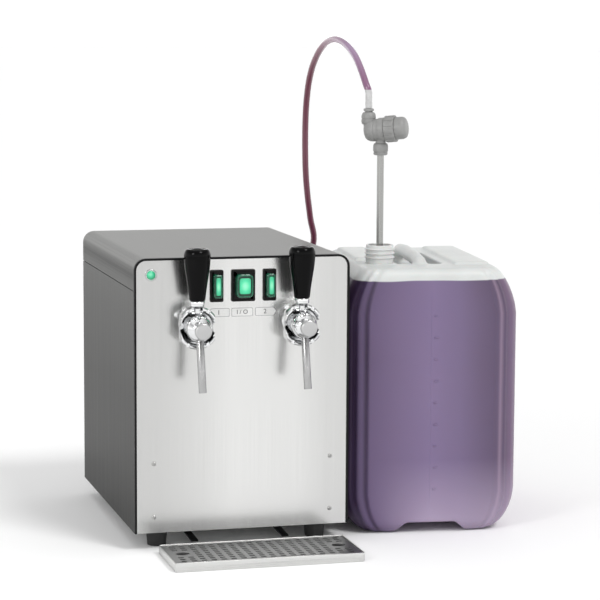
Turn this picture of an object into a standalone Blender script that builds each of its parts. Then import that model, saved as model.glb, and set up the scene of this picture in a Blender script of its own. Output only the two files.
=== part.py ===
"""Counter-top mulled wine dispenser with two taps, drip tray, suction hose, lance and wine canister.

Metres, +Z up. The model is laid out from the middle of the front panel's outer face at table
height (X to the right, Y to the back) and is moved at the end, so that its origin lies under
the middle of its bounding box.
"""

import math

import bmesh
import bpy
from mathutils import Matrix, Vector

# Clearances and allowances
GAP = 0.0003
OVERRUN = 0.004
MERGE = 0.00001
WELD = 0.000002

# Casing
BODY_WIDTH = 0.2307
BODY_DEPTH = 0.3022
BODY_HEIGHT = 0.288
CORNER_RADIUS = 0.0125
SHEET = 0.001
SEAM_WIDTH = 0.0008
COVER_DROP = 0.0334
JOGGLE_HEIGHT = 0.01
SIDE_FLANGE = 0.012
BASE_SHEET = 0.0015
TAB_WIDTH = 0.02
REAR_SHEET = 0.001

# Front panel and its black edge trim
PANEL_SHEET = 0.0015
TRIM_WEB = 0.0008
TRIM_LIP = 0.0023
TRIM_SKIN = 0.0008

# Feet with their moulded-in studs
FOOT_HEIGHT = 0.019
FOOT_TOP_RADIUS = 0.0115
FOOT_BOTTOM_RADIUS = 0.01
FOOT_EDGE = 0.0015
FOOT_INSET = 0.029
STUD_THREAD_RADIUS = 0.002
STUD_TIP = 0.006
STUD_FREE = 0.0002

# Holes for the small panel screws
SCREW_HOLE = 0.0015
FRONT_SCREW_INSET = 0.0203
FRONT_SCREW_LOW = 0.0165
FRONT_SCREW_HIGH = 0.0733
REAR_SCREW_LOW = 0.03
REAR_SCREW_PITCH = 0.19
REAR_SCREWS = 2

# Green indicator lamp
LAMP_INSET = 0.0178
LAMP_HEIGHT = 0.2707
LAMP_RIM_RADIUS = 0.0063
LAMP_RIM_WALL = 0.001
LAMP_RIM_HEIGHT = 0.0016
LAMP_BARREL_RADIUS = 0.0046
LAMP_DEPTH = 0.022
LAMP_FLOOR = 0.0005
LAMP_DOME = 0.0016
LAMP_SHOULDER_SHARE = 0.8
LAMP_EDGE_SHARE = 0.33

# Rocker switches under their silicone boots
SWITCH_HEIGHT = 0.2578
SWITCH_SPACING = 0.0283
WIDE_FRAME = 0.0253
NARROW_FRAME = 0.0141
FRAME_HEIGHT = 0.0335
FRAME_LIP = 0.002
FRAME_EDGE = 0.0008
FRAME_OVERLAP = 0.0015
SWITCH_DEPTH = 0.024
SWITCH_CAVITY = 0.012
WIDE_BOOT = 0.018
NARROW_BOOT = 0.0088
BOOT_HEIGHT = 0.0245
BOOT_DEPTH = 0.0078
BOOT_WALL = 0.0008
BOOT_EDGE = 0.0022
ROCKER_SIDE_GAP = 0.0008
ROCKER_HEIGHT = 0.0196
ROCKER_FRONT = 0.0052
ROCKER_DISH = 0.001
ROCKER_EDGE = 0.0035
ROCKER_HUB = 0.0025
ROCKER_PIVOT_DEPTH = 0.0025
ROCKER_TILT = math.radians(7)

# Taps
TAP_SPACING = 0.1108
TAP_HEIGHT = 0.2187
SHANK_RADIUS = 0.008
SHANK_BORE = 0.004
SHANK_TAIL = 0.03
ROSETTE_RADIUS = 0.0135
ROSETTE_HEIGHT = 0.0028
SHANK_NUT_RADIUS = 0.0135
SHANK_NUT_HEIGHT = 0.006
COLLAR_RADIUS = 0.0223
COLLAR_FLATS = 0.035
COLLAR_REAR = 0.0215
COLLAR_LENGTH = 0.0145
COLLAR_EDGE = 0.0015
COLLAR_WALL = 0.0045
SHANK_SEAT = 0.004
BALL_RADIUS = 0.01375
BALL_FORWARD = 0.0385
BALL_CLEAR = 0.0008
LEVER_FORWARD = 0.03
LEVER_PIVOT_RISE = 0.0172
PIN_RADIUS = 0.0012
PIN_FREE = 0.0001
PIN_LENGTH = 0.027
FERRULE_RADIUS = 0.0078
FERRULE_NECK_RADIUS = 0.0035
FERRULE_BOTTOM_RISE = 0.0205
FERRULE_CONE = 0.0025
FERRULE_TOP_RISE = 0.0279
STEM_BELOW = 0.0024
STEM_ROOM = 0.007
STUD_RADIUS = 0.004
STUD_HEIGHT = 0.02
HANDLE_BOTTOM_RADIUS = 0.0083
HANDLE_RADIUS = 0.0137
HANDLE_TOP_RISE = 0.0824
HANDLE_WAIST_SHARE = 0.56
HANDLE_SHOULDER_SHARE = 0.9
HANDLE_TOP_RADIUS_SHARE = 0.83
HANDLE_DOME = 0.0016
NOSE_RADIUS = 0.0088
NOSE_NECK_RADIUS = 0.006
NOSE_NECK = 0.0024
NOSE_LENGTH = 0.0065
NOSE_EDGE = 0.0018
PEARL_RADIUS = 0.005
PEARL_ASIDE = 0.0062
PEARL_RISE = 0.0095
PEARL_FORWARD = 0.0475
SPOUT_RADIUS = 0.004
SPOUT_WALL = 0.0008
SPOUT_TOP_FORWARD = 0.0412
SPOUT_TOP_DROP = 0.0065
SPOUT_END_FORWARD = 0.0552
SPOUT_END_DROP = 0.0634

# Pumps, heater and what hangs on them
PUMP_ASIDE = 0.075
PUMP_RISE = 0.042
PUMP_RADIUS = 0.021
PUMP_FRONT = 0.17
PUMP_LENGTH = 0.085
PUMP_NECK_RADIUS = 0.0085
PUMP_NECK = 0.012
PUMP_SADDLE_WIDTH = 0.026
PUMP_SADDLE_LENGTH = 0.05
HEATER_WIDTH = 0.09
HEATER_LENGTH = 0.09
HEATER_HEIGHT = 0.13
HEATER_FRONT = 0.05
HEATER_RISE = 0.026
HEATER_EDGE = 0.004
HEATER_FEED_BACK = 0.05
HEATER_OUTLET_ASIDE = 0.028
HEATER_OUTLET_BACK = 0.03
HEATER_LEG = 0.012
ROD_RADIUS = 0.005
ROD_LENGTH = 0.016
ROD_SPACING = 0.03
ROD_DROP = 0.03
THERMOSTAT_RADIUS = 0.012
THERMOSTAT_HEIGHT = 0.012
THERMOSTAT_EDGE = 0.001
TUBE_RADIUS = 0.004
TUBE_BEND = 0.022
TUBE_BEND_STEPS = 6
BOARD_WIDTH = 0.08
BOARD_HEIGHT = 0.06
BOARD_SHEET = 0.0016
BOARD_RISE = 0.155
BOARD_POST = 0.008
BOARD_POST_RADIUS = 0.003
BOARD_POST_INSET = 0.006
RELAY_SIZE = 0.018

# Rear fittings
SOCKET_WIDTH = 0.028
SOCKET_HEIGHT = 0.022
SOCKET_FLANGE = 0.004
SOCKET_FLANGE_SHEET = 0.002
SOCKET_DEPTH = 0.022
SOCKET_WALL = 0.0025
SOCKET_CAVITY = 0.016
SOCKET_RISE = 0.06
SOCKET_EDGE = 0.001
INLET_RADIUS = 0.0085
INLET_COLLAR_RADIUS = 0.0079
INLET_REACH = 0.022
INLET_FLANGE_RADIUS = 0.012
INLET_FLANGE = 0.004
INLET_EDGE = 0.001
VENT_WIDTH = 0.05
VENT_HEIGHT = 0.004
VENT_PITCH = 0.01
VENTS = 6
VENT_RISE = 0.2

# Stop strips under the base
STOP_ASIDE = 0.0493
STOP_WIDTH = 0.0074
STOP_SHEET = 0.0015
STOP_FRONT = 0.0093
STOP_TIP_RISE = 0.0066
STOP_SLOPE_END = 0.055
STOP_SLOPE_RISE = 0.009
STOP_FLANGE_START = 0.07
STOP_FLANGE_END = 0.09

# Drip tray and its grid
TRAY_WIDTH = 0.1985
TRAY_DEPTH = 0.084
TRAY_HEIGHT = 0.0095
TRAY_SHEET = 0.001
TRAY_ASIDE = 0.006
TRAY_BACK = 0.0145
GRID_BELOW_RIM = 0.0006
GRID_SIDE_GAP = 0.0006
GRID_COLUMNS = 18
GRID_ROWS = 9
GRID_MARGIN = 0.0045
SLOT_WIDTH_SHARE = 0.56
SLOT_DEPTH_SHARE = 0.52
FINGER_COLUMNS = 2
FINGER_ROWS = 3
FINGER_WIDTH = 0.0145
FINGER_DEPTH = 0.0115
FINGER_SIDES = 16

# Canister
CANISTER_WIDTH = 0.193
CANISTER_LENGTH = 0.23
CANISTER_HEIGHT = 0.2875
CANISTER_WALL = 0.0015
CANISTER_CORNER = 0.024
CANISTER_FOOT_EDGE = 0.01
CANISTER_TOP_EDGE = 0.008
FOOT_OVAL_WIDTH = 0.03
FOOT_OVAL_HEIGHT = 0.042
SHOULDER_OVAL_WIDTH = 0.026
SHOULDER_OVAL_HEIGHT = 0.05
OVAL_STEPS = 5
CANISTER_CLEAR = 0.0004
CANISTER_BACK = 0.01
CANISTER_TURN = math.radians(-6)
CHANNEL_WIDTH = 0.074
CHANNEL_TOP_WIDTH = 0.056
CHANNEL_HEIGHT = 0.0115
PAD_HEIGHT = 0.0035
PAD_EDGE = 0.003
PAD_BACK = 0.205
PAD_OUTER = 0.069
RIGHT_PAD_INNER = 0.03
LEFT_PAD_INNER = 0.036
RIGHT_PAD_FRONT = 0.035
LEFT_PAD_FRONT = 0.09
RECESS_DEPTH = 0.016
RECESS_WIDTH = 0.05
RECESS_FRONT = 0.055
RECESS_BACK = 0.16
RECESS_EDGE = 0.006
GRIP_ASIDE = -0.006
GRIP_RADIUS = 0.0055
GRIP_WIDTH_SCALE = 2.2
GRIP_RISE = 0.0105
GRIP_FRONT = 0.036
GRIP_BACK = 0.178
GRIP_CORNER = 0.014
GRIP_STEPS = 4
NECK_ASIDE = -0.0492
NECK_BACK = 0.0511
NECK_RADIUS = 0.015
NECK_WALL = 0.0022
NECK_HEIGHT = 0.0215
THREAD_RADIUS = 0.0165
THREAD_PITCH = 0.0045
THREADS = 3

# Suction lance and strainer
LANCE_RADIUS = 0.00375
LANCE_WALL = 0.0008
STRAINER_HEIGHT = 0.4333
STRAINER_TURN = math.radians(-32.7)
STRAINER_RISE = math.radians(6)
BARREL_RADIUS = 0.0119
BARREL_END = 0.0179
BARREL_EDGE = 0.006
BARREL_FLANGE_RADIUS = 0.0128
BARREL_FLANGE = 0.0055
PORT_NECK_RADIUS = 0.0055
PORT_SIDE = 0.0137
UPPER_COLLAR_RADIUS = 0.0079
UPPER_COLLAR_BOTTOM = 0.0065
UPPER_COLLAR_TOP = 0.0187
UPPER_FLANGE_RADIUS = 0.0056
UPPER_FLANGE = 0.003
UPPER_NECK = 0.001
LOWER_COLLAR_RADIUS = 0.0081
LOWER_COLLAR_TOP = 0.0145
LOWER_COLLAR = 0.0128
LOWER_COLLAR_EDGE = 0.002
LANCE_SEAT = 0.009
NUT_START = 0.0058
NUT_LENGTH = 0.0115
NUT_RADIUS = 0.0143
NUT_RIB = 0.0007
NUT_RIBS = 12
CAP_RADIUS = 0.0121
CAP_LENGTH = 0.0118
CAP_EDGE = 0.005
SPIGOT_RADIUS = 0.0095

# Suction hose: its own points from the rear inlet to the strainer, chosen along the photographed arch
HOSE_RADIUS = 0.00375
HOSE_STEP = 0.019
HOSE_LEAD = 0.016
HOSE_ROUTE = (
    (0.0840, 0.3760, 0.0700), (0.1020, 0.4040, 0.0940), (0.1250, 0.4100, 0.1320), (0.1460, 0.3970, 0.1780),
    (0.1600, 0.3740, 0.2300), (0.1741, 0.3540, 0.2806), (0.1675, 0.3440, 0.3130), (0.1618, 0.3380, 0.3446),
    (0.1584, 0.3340, 0.3758), (0.1562, 0.3280, 0.4171), (0.1547, 0.3180, 0.4521), (0.1537, 0.3000, 0.4831),
    (0.1536, 0.2740, 0.5057), (0.1542, 0.2400, 0.5221), (0.1550, 0.2000, 0.5282), (0.1554, 0.1580, 0.5235),
    (0.1551, 0.1210, 0.5119), (0.1544, 0.0935, 0.4968), (0.1550, 0.0775, 0.4824),
)

# Sides of round pieces
FINE = 20
ROUND = 16
SMALL = 12
TINY = 8
HEX = 6
ROUTE_PARTS = 20

# Places that follow from the sizes
SIDES = (("left", -1.0), ("right", 1.0))
HALF_WIDTH = BODY_WIDTH / 2
BODY_TOP = FOOT_HEIGHT + BODY_HEIGHT
TRIM_FRONT = -(TRIM_SKIN + GAP)
TRIM_BACK = PANEL_SHEET + GAP + TRIM_SKIN
CASING_FRONT = TRIM_BACK + GAP
SEAM_TOP = BODY_TOP - COVER_DROP
SIDE_TOP = SEAM_TOP - SEAM_WIDTH
INNER_HALF = HALF_WIDTH - SHEET - GAP
BASE_BOTTOM = FOOT_HEIGHT + SHEET + GAP
BASE_TOP = BASE_BOTTOM + BASE_SHEET
REAR_FRONT = BODY_DEPTH - REAR_SHEET
TAP_Z = FOOT_HEIGHT + TAP_HEIGHT
PUMP_Z = BASE_TOP + PUMP_RISE
HEATER_BOTTOM = BASE_TOP + HEATER_RISE
HEATER_TOP = HEATER_BOTTOM + HEATER_HEIGHT
HEATER_BACK = HEATER_FRONT + HEATER_LENGTH
CANISTER_ASIDE = HALF_WIDTH + CANISTER_CLEAR + CANISTER_WIDTH / 2
STRAINER_AXIS = Vector((
    math.cos(STRAINER_TURN) * math.cos(STRAINER_RISE),
    math.sin(STRAINER_TURN) * math.cos(STRAINER_RISE),
    math.sin(STRAINER_RISE),
))
FACING_FRONT = Matrix(((1, 0, 0), (0, 0, -1), (0, 1, 0))).to_4x4()
FACING_SIDE = Matrix(((0, 0, 1), (1, 0, 0), (0, 1, 0))).to_4x4()

for old in list(bpy.data.objects):
    bpy.data.objects.remove(old)

PARTS = bpy.data.collections.new("mulled_wine_dispenser")
CUTTERS = bpy.data.collections.new("cutters")
bpy.context.scene.collection.children.link(PARTS)
bpy.context.scene.collection.children.link(CUTTERS)


# Materials

def material(name, colour, roughness, metallic=0.0):
    made = bpy.data.materials.new(name)
    made.use_nodes = True
    shader = made.node_tree.nodes["Principled BSDF"]
    shader.inputs["Base Color"].default_value = (*colour, 1.0)
    shader.inputs["Roughness"].default_value = roughness
    shader.inputs["Metallic"].default_value = metallic
    return made


BRIGHT_STEEL = material("bright_brushed_steel", (0.72, 0.72, 0.71), 0.32, 1.0)
SATIN_STEEL = material("satin_steel", (0.38, 0.38, 0.37), 0.42, 1.0)
CHROME = material("chrome", (0.86, 0.87, 0.88), 0.08, 1.0)
BLACK_PLASTIC = material("black_plastic", (0.015, 0.015, 0.016), 0.4)
BLACK_GLOSS = material("black_gloss_plastic", (0.01, 0.01, 0.011), 0.16)
BLACK_RUBBER = material("black_rubber", (0.02, 0.02, 0.02), 0.75)
GREEN_BOOT = material("green_silicone", (0.02, 0.42, 0.22), 0.3)
GREEN_LENS = material("green_lens", (0.05, 0.75, 0.4), 0.2)
CAST_ALUMINIUM = material("cast_aluminium", (0.6, 0.61, 0.62), 0.5, 1.0)
ZINC_STEEL = material("zinc_plated_steel", (0.55, 0.56, 0.55), 0.45, 1.0)
BRASS = material("brass", (0.72, 0.55, 0.28), 0.3, 1.0)
GREY_PLASTIC = material("grey_plastic", (0.42, 0.43, 0.43), 0.45)
WHITE_TUBE = material("milky_tube", (0.75, 0.74, 0.72), 0.4)
BOARD_GREEN = material("circuit_board", (0.02, 0.16, 0.08), 0.5)
WINE_HOSE = material("wine_filled_hose", (0.3, 0.06, 0.12), 0.25)
CANISTER_PLASTIC = material("wine_filled_canister", (0.24, 0.13, 0.27), 0.4)


# Building blocks

def as_part(piece, finish):
    """Gives a finished piece its material and its place among the parts."""
    for holder in list(piece.users_collection):
        holder.objects.unlink(piece)
    PARTS.objects.link(piece)
    piece.hide_render = False
    piece.display_type = "TEXTURED"
    piece.data.materials.clear()
    piece.data.materials.append(finish)
    return piece


def from_bmesh(name, form, smooth=False):
    """A working object from a bmesh; it counts as a cutter until as_part is called on it."""
    mesh = bpy.data.meshes.new(name)
    form.to_mesh(mesh)
    form.free()
    if smooth:
        mesh.shade_smooth()
        mesh.set_sharp_from_angle(angle=math.radians(40))
    piece = bpy.data.objects.new(name, mesh)
    piece.hide_render = True
    piece.display_type = "WIRE"
    CUTTERS.objects.link(piece)
    return piece


def block(name, low, high, edge=0.0, segments=2):
    """A box between two corners, with all its edges rounded by edge."""
    low, high = Vector(low), Vector(high)
    form = bmesh.new()
    bmesh.ops.create_cube(form, size=1.0)
    bmesh.ops.scale(form, vec=high - low, verts=form.verts)
    bmesh.ops.translate(form, vec=(low + high) / 2, verts=form.verts)
    if edge > 0:
        bmesh.ops.bevel(form, geom=form.edges[:], offset=edge, segments=segments,
                        profile=0.5, affect="EDGES", clamp_overlap=True)
    return from_bmesh(name, form, smooth=edge > 0)


def rod(name, start, end, radius, sides=SMALL, end_radius=None):
    """A cylinder or cone from start to end."""
    start, end = Vector(start), Vector(end)
    along = end - start
    form = bmesh.new()
    bmesh.ops.create_cone(form, cap_ends=True, segments=sides, radius1=radius,
                          radius2=radius if end_radius is None else end_radius, depth=along.length)
    turn = along.to_track_quat("Z", "Y").to_matrix().to_4x4()
    bmesh.ops.transform(form, matrix=Matrix.Translation((start + end) / 2) @ turn, verts=form.verts)
    return from_bmesh(name, form, smooth=sides > HEX)


def turned(name, profile, foot=(0, 0, 0), axis=(0, 0, 1), sides=ROUND):
    """A solid of revolution: (radius, height) pairs, outer side from top to bottom, closed at the bore."""
    closed = profile[0][0] > 0 and profile[-1][0] > 0
    form = bmesh.new()
    points = [form.verts.new((radius, 0, height)) for radius, height in profile]
    for first, second in zip(points, points[1:]):
        form.edges.new((first, second))
    if closed:
        form.edges.new((points[-1], points[0]))
    piece = from_bmesh(name, form)
    screw = piece.modifiers.new("turn", "SCREW")
    screw.steps = screw.render_steps = sides
    screw.use_merge_vertices = True
    screw.merge_threshold = MERGE
    screw.use_smooth_shade = True
    turn = Vector(axis).to_track_quat("Z", "Y").to_matrix().to_4x4()
    piece.matrix_world = Matrix.Translation(foot) @ turn
    return piece


def to_mesh(curve_object):
    """Turns a curve object into a closed mesh object in the same place."""
    bpy.context.view_layer.update()
    seen = curve_object.evaluated_get(bpy.context.evaluated_depsgraph_get())
    mesh = bpy.data.meshes.new_from_object(seen)
    form = bmesh.new()
    form.from_mesh(mesh)
    bmesh.ops.remove_doubles(form, verts=form.verts, dist=WELD)
    name, place = curve_object.name, curve_object.matrix_world.copy()
    bpy.data.objects.remove(curve_object)
    piece = from_bmesh(name, form)
    piece.matrix_world = place
    return piece


def slab(name, outline, thickness, place):
    """A flat piece from a closed 2D outline, thickness/2 to either side of its own plane."""
    curve = bpy.data.curves.new(name, "CURVE")
    curve.dimensions = "2D"
    curve.fill_mode = "BOTH"
    curve.extrude = thickness / 2
    line = curve.splines.new("POLY")
    line.points.add(len(outline) - 1)
    for point, (across, up) in zip(line.points, outline):
        point.co = (across, up, 0, 1)
    line.use_cyclic_u = True
    piece = bpy.data.objects.new(name, curve)
    CUTTERS.objects.link(piece)
    piece.matrix_world = place
    return to_mesh(piece)


def front_slab(name, outline, front, thickness):
    """A slab with an outline in X and Z whose front face lies at the given Y."""
    return slab(name, outline, thickness, Matrix.Translation((0, front + thickness / 2, 0)) @ FACING_FRONT)


def bent_sheet(name, line, thickness, start, end, place):
    """A folded sheet: an open line in the place's X and Y, drawn along its Z, thickened leftwards."""
    form = bmesh.new()
    points = [form.verts.new((across, up, start)) for across, up in line]
    edges = [form.edges.new(pair) for pair in zip(points, points[1:])]
    drawn = bmesh.ops.extrude_edge_only(form, edges=edges)
    moved = [item for item in drawn["geom"] if isinstance(item, bmesh.types.BMVert)]
    bmesh.ops.translate(form, vec=(0, 0, end - start), verts=moved)
    piece = from_bmesh(name, form)
    thick = piece.modifiers.new("sheet", "SOLIDIFY")
    thick.thickness = thickness
    thick.offset = 1
    thick.use_even_offset = True
    piece.matrix_world = place
    return piece


def tube(name, points, radius, resolution=2):
    """A round rod along points, as a curve with filled caps."""
    curve = bpy.data.curves.new(name, "CURVE")
    curve.dimensions = "3D"
    curve.bevel_depth = radius
    curve.bevel_resolution = resolution
    curve.use_fill_caps = True
    line = curve.splines.new("POLY")
    line.points.add(len(points) - 1)
    for point, place in zip(line.points, points):
        point.co = (*place, 1)
    piece = bpy.data.objects.new(name, curve)
    CUTTERS.objects.link(piece)
    return piece


def combine(piece, operation, others):
    for other in others:
        step = piece.modifiers.new(operation.lower(), "BOOLEAN")
        step.operation = operation
        step.solver = "EXACT"
        step.object = other
    return piece


def join(piece, *others):
    return combine(piece, "UNION", others)


def cut(piece, *others):
    return combine(piece, "DIFFERENCE", others)


def group(name, pieces):
    """Several separate solids in one object."""
    bpy.context.view_layer.update()
    graph = bpy.context.evaluated_depsgraph_get()
    form = bmesh.new()
    for piece in pieces:
        mesh = bpy.data.meshes.new_from_object(piece.evaluated_get(graph))
        mesh.transform(piece.matrix_world)
        form.from_mesh(mesh)
        bpy.data.meshes.remove(mesh)
    for piece in pieces:
        bpy.data.objects.remove(piece)
    return from_bmesh(name, form)


def pivot(name, place, pieces):
    """An empty on a joint's axis that carries the moving pieces."""
    empty = bpy.data.objects.new(name, None)
    PARTS.objects.link(empty)
    empty.location = place
    bpy.context.view_layer.update()
    for piece in pieces:
        piece.parent = empty
        piece.matrix_parent_inverse = empty.matrix_world.inverted()


def arch(width, bottom, top, radius, steps=6):
    """The casing's outline: a rectangle with its two top corners rounded."""
    half = width / 2
    points = [(half, bottom)]
    for centre, start in ((half - radius, 0.0), (radius - half, math.pi / 2)):
        for step in range(steps + 1):
            angle = start + math.pi / 2 * step / steps
            points.append((centre + radius * math.cos(angle), top - radius + radius * math.sin(angle)))
    points.append((-half, bottom))
    return points


def rounded(corners, radius, steps=TUBE_BEND_STEPS):
    """Points along a line of corners, each inner corner replaced by a curve that starts radius away."""
    corners = [Vector(corner) for corner in corners]
    points = [corners[0]]
    for before, corner, after in zip(corners, corners[1:], corners[2:]):
        start = corner + (before - corner).normalized() * radius
        end = corner + (after - corner).normalized() * radius
        for step in range(steps + 1):
            share = step / steps
            points.append(start * (1 - share) ** 2 + corner * 2 * share * (1 - share) + end * share ** 2)
    points.append(corners[-1])
    return points


def smooth_route(points, step):
    """Even points on a Catmull-Rom curve, between two straight leads: the first and last stretch."""
    points = [Vector(point) for point in points]
    fine = []
    for before, start, end, after in zip(points, points[1:], points[2:], points[3:]):
        for part in range(ROUTE_PARTS):
            share = part / ROUTE_PARTS
            fine.append((2 * start + (end - before) * share
                         + (2 * before - 5 * start + 4 * end - after) * share ** 2
                         + (3 * start - before - 3 * end + after) * share ** 3) / 2)
    fine.append(points[-2])
    count = round(sum((second - first).length for first, second in zip(fine, fine[1:])) / step)
    spacing = sum((second - first).length for first, second in zip(fine, fine[1:])) / count
    even, walked = [fine[0]], 0.0
    for first, second in zip(fine, fine[1:]):
        stretch = (second - first).length
        while walked + stretch >= spacing * len(even) and len(even) < count:
            even.append(first.lerp(second, (spacing * len(even) - walked) / stretch))
        walked += stretch
    return [points[0], *even, points[-2], points[-1]]


# Casing

def front_screw_places():
    for _, side in SIDES:
        for rise in (FRONT_SCREW_LOW, FRONT_SCREW_HIGH):
            yield side * (HALF_WIDTH - FRONT_SCREW_INSET), FOOT_HEIGHT + rise


def rear_screw_places():
    for _, side in SIDES:
        for index in range(REAR_SCREWS):
            rise = FOOT_HEIGHT + REAR_SCREW_LOW + REAR_SCREW_PITCH * index
            yield side * (INNER_HALF - SIDE_FLANGE / 2), rise


def foot_places():
    for word, side in SIDES:
        for end, back in (("front", FOOT_INSET), ("rear", BODY_DEPTH - FOOT_INSET)):
            yield f"foot_{end}_{word}", side * (HALF_WIDTH - FOOT_INSET), back


def round_hole(x, y, z, radius=SCREW_HOLE, sides=TINY):
    return rod("hole", (x, y - OVERRUN, z), (x, y + OVERRUN, z), radius, sides)


def make_front_panel():
    inset = TRIM_WEB + GAP
    panel = front_slab("front_panel", arch(BODY_WIDTH - 2 * inset, FOOT_HEIGHT, BODY_TOP - inset,
                                           CORNER_RADIUS - inset), 0, PANEL_SHEET)
    openings = [round_hole(x, PANEL_SHEET, z) for x, z in front_screw_places()]
    for _, side in SIDES:
        openings.append(round_hole(side * TAP_SPACING / 2, PANEL_SHEET, TAP_Z, SHANK_RADIUS + GAP, ROUND))
    openings.append(round_hole(LAMP_INSET - HALF_WIDTH, PANEL_SHEET, FOOT_HEIGHT + LAMP_HEIGHT,
                               LAMP_BARREL_RADIUS + GAP, SMALL))
    for x, frame, _ in switch_places().values():
        openings.append(switch_body("switch_opening", x, frame, GAP, -OVERRUN, OVERRUN))
    as_part(cut(panel, *openings), BRIGHT_STEEL)


def make_edge_trim():
    depth = TRIM_BACK - TRIM_FRONT
    trim = front_slab("edge_trim", arch(BODY_WIDTH, FOOT_HEIGHT, BODY_TOP, CORNER_RADIUS), TRIM_FRONT, depth)
    window = front_slab("trim_window", arch(BODY_WIDTH - 2 * TRIM_LIP, FOOT_HEIGHT - OVERRUN,
                                            BODY_TOP - TRIM_LIP, CORNER_RADIUS - TRIM_LIP),
                        TRIM_FRONT - OVERRUN, depth + 2 * OVERRUN)
    groove = front_slab("trim_groove", arch(BODY_WIDTH - 2 * TRIM_WEB, FOOT_HEIGHT - OVERRUN,
                                            BODY_TOP - TRIM_WEB, CORNER_RADIUS - TRIM_WEB),
                        -GAP, PANEL_SHEET + 2 * GAP)
    as_part(cut(trim, window, groove), BLACK_PLASTIC)


def make_top_cover():
    line = arch(BODY_WIDTH, SEAM_TOP, BODY_TOP, CORNER_RADIUS)
    place = Matrix.Translation((0, BODY_DEPTH, 0)) @ FACING_FRONT
    cover = bent_sheet("top_cover", line, SHEET, 0, BODY_DEPTH - CASING_FRONT, place)
    as_part(cover, SATIN_STEEL)


def make_side_panels():
    for word, side in SIDES:
        line = [(INNER_HALF - SIDE_FLANGE, FOOT_HEIGHT), (HALF_WIDTH, FOOT_HEIGHT), (HALF_WIDTH, SIDE_TOP),
                (INNER_HALF, SIDE_TOP), (INNER_HALF, SIDE_TOP + JOGGLE_HEIGHT)]
        line = [(side * across, up) for across, up in line]
        if side < 0:
            line.reverse()
        place = Matrix.Translation((0, BODY_DEPTH, 0)) @ FACING_FRONT
        panel = bent_sheet(f"side_panel_{word}", line, SHEET, 0, BODY_DEPTH - CASING_FRONT, place)
        low = (INNER_HALF - SIDE_FLANGE, REAR_FRONT - GAP - SHEET, BASE_TOP + GAP)
        high = (HALF_WIDTH - SHEET / 2, REAR_FRONT - GAP, SIDE_TOP - SHEET / 2)
        edges = sorted((side * low[0], side * high[0]))
        flange = block("rear_flange", (edges[0], *low[1:]), (edges[1], *high[1:]))
        holes = [round_hole(x, REAR_FRONT, z) for x, z in rear_screw_places() if x * side > 0]
        as_part(cut(join(panel, flange), *holes), SATIN_STEEL)


def make_base_plate():
    front = PANEL_SHEET + GAP
    base = block("base_plate", (-INNER_HALF, CASING_FRONT, BASE_BOTTOM),
                 (INNER_HALF, REAR_FRONT - GAP, BASE_TOP))
    for _, side in SIDES:
        middle = side * (HALF_WIDTH - FRONT_SCREW_INSET)
        top = FOOT_HEIGHT + FRONT_SCREW_HIGH + TAB_WIDTH / 2
        join(base, block("front_tab", (middle - TAB_WIDTH / 2, front, BASE_BOTTOM),
                         (middle + TAB_WIDTH / 2, front + BASE_SHEET, top)))
    cut(base, *[round_hole(x, front, z) for x, z in front_screw_places()])
    hole = STUD_THREAD_RADIUS + STUD_FREE
    cut(base, *[rod("stud_hole", (x, y, BASE_BOTTOM - OVERRUN), (x, y, BASE_TOP + OVERRUN), hole, TINY)
                for _, x, y in foot_places()])
    as_part(base, ZINC_STEEL)


def make_rear_panel():
    inset = SHEET + GAP
    bottom = BASE_TOP + GAP
    panel = front_slab("rear_panel", arch(BODY_WIDTH - 2 * inset, bottom, BODY_TOP - inset,
                                          CORNER_RADIUS - inset), REAR_FRONT, REAR_SHEET)
    clear = SHEET + GAP
    relief = []
    for _, side in SIDES:
        edges = sorted((side * (INNER_HALF - clear), side * (INNER_HALF + OVERRUN)))
        relief.append(block("joggle_relief", (edges[0], REAR_FRONT - OVERRUN, SIDE_TOP - clear),
                            (edges[1], BODY_DEPTH + OVERRUN, SIDE_TOP + JOGGLE_HEIGHT + GAP)))
    holes = [round_hole(x, BODY_DEPTH, z) for x, z in rear_screw_places()]
    for _, side in SIDES:
        holes.append(round_hole(side * PUMP_ASIDE, BODY_DEPTH, PUMP_Z, INLET_RADIUS + GAP, SMALL))
    holes.append(block("socket_opening", (-SOCKET_WIDTH / 2 - GAP, REAR_FRONT - OVERRUN, socket_z(-1) - GAP),
                       (SOCKET_WIDTH / 2 + GAP, BODY_DEPTH + OVERRUN, socket_z(1) + GAP)))
    for index in range(VENTS):
        low = FOOT_HEIGHT + VENT_RISE + VENT_PITCH * index
        holes.append(block("vent", (-VENT_WIDTH / 2, REAR_FRONT - OVERRUN, low),
                           (VENT_WIDTH / 2, BODY_DEPTH + OVERRUN, low + VENT_HEIGHT)))
    as_part(cut(panel, *relief, *holes), SATIN_STEEL)


def make_feet():
    top = BASE_BOTTOM - GAP
    tip = BASE_TOP + STUD_TIP
    profile = ((0, tip), (STUD_THREAD_RADIUS, tip), (STUD_THREAD_RADIUS, top), (FOOT_TOP_RADIUS, top),
               (FOOT_BOTTOM_RADIUS, FOOT_EDGE), (FOOT_BOTTOM_RADIUS - FOOT_EDGE, 0), (0, 0))
    for name, x, y in foot_places():
        as_part(turned(name, profile, (x, y, 0), sides=SMALL), BLACK_RUBBER)


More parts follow.
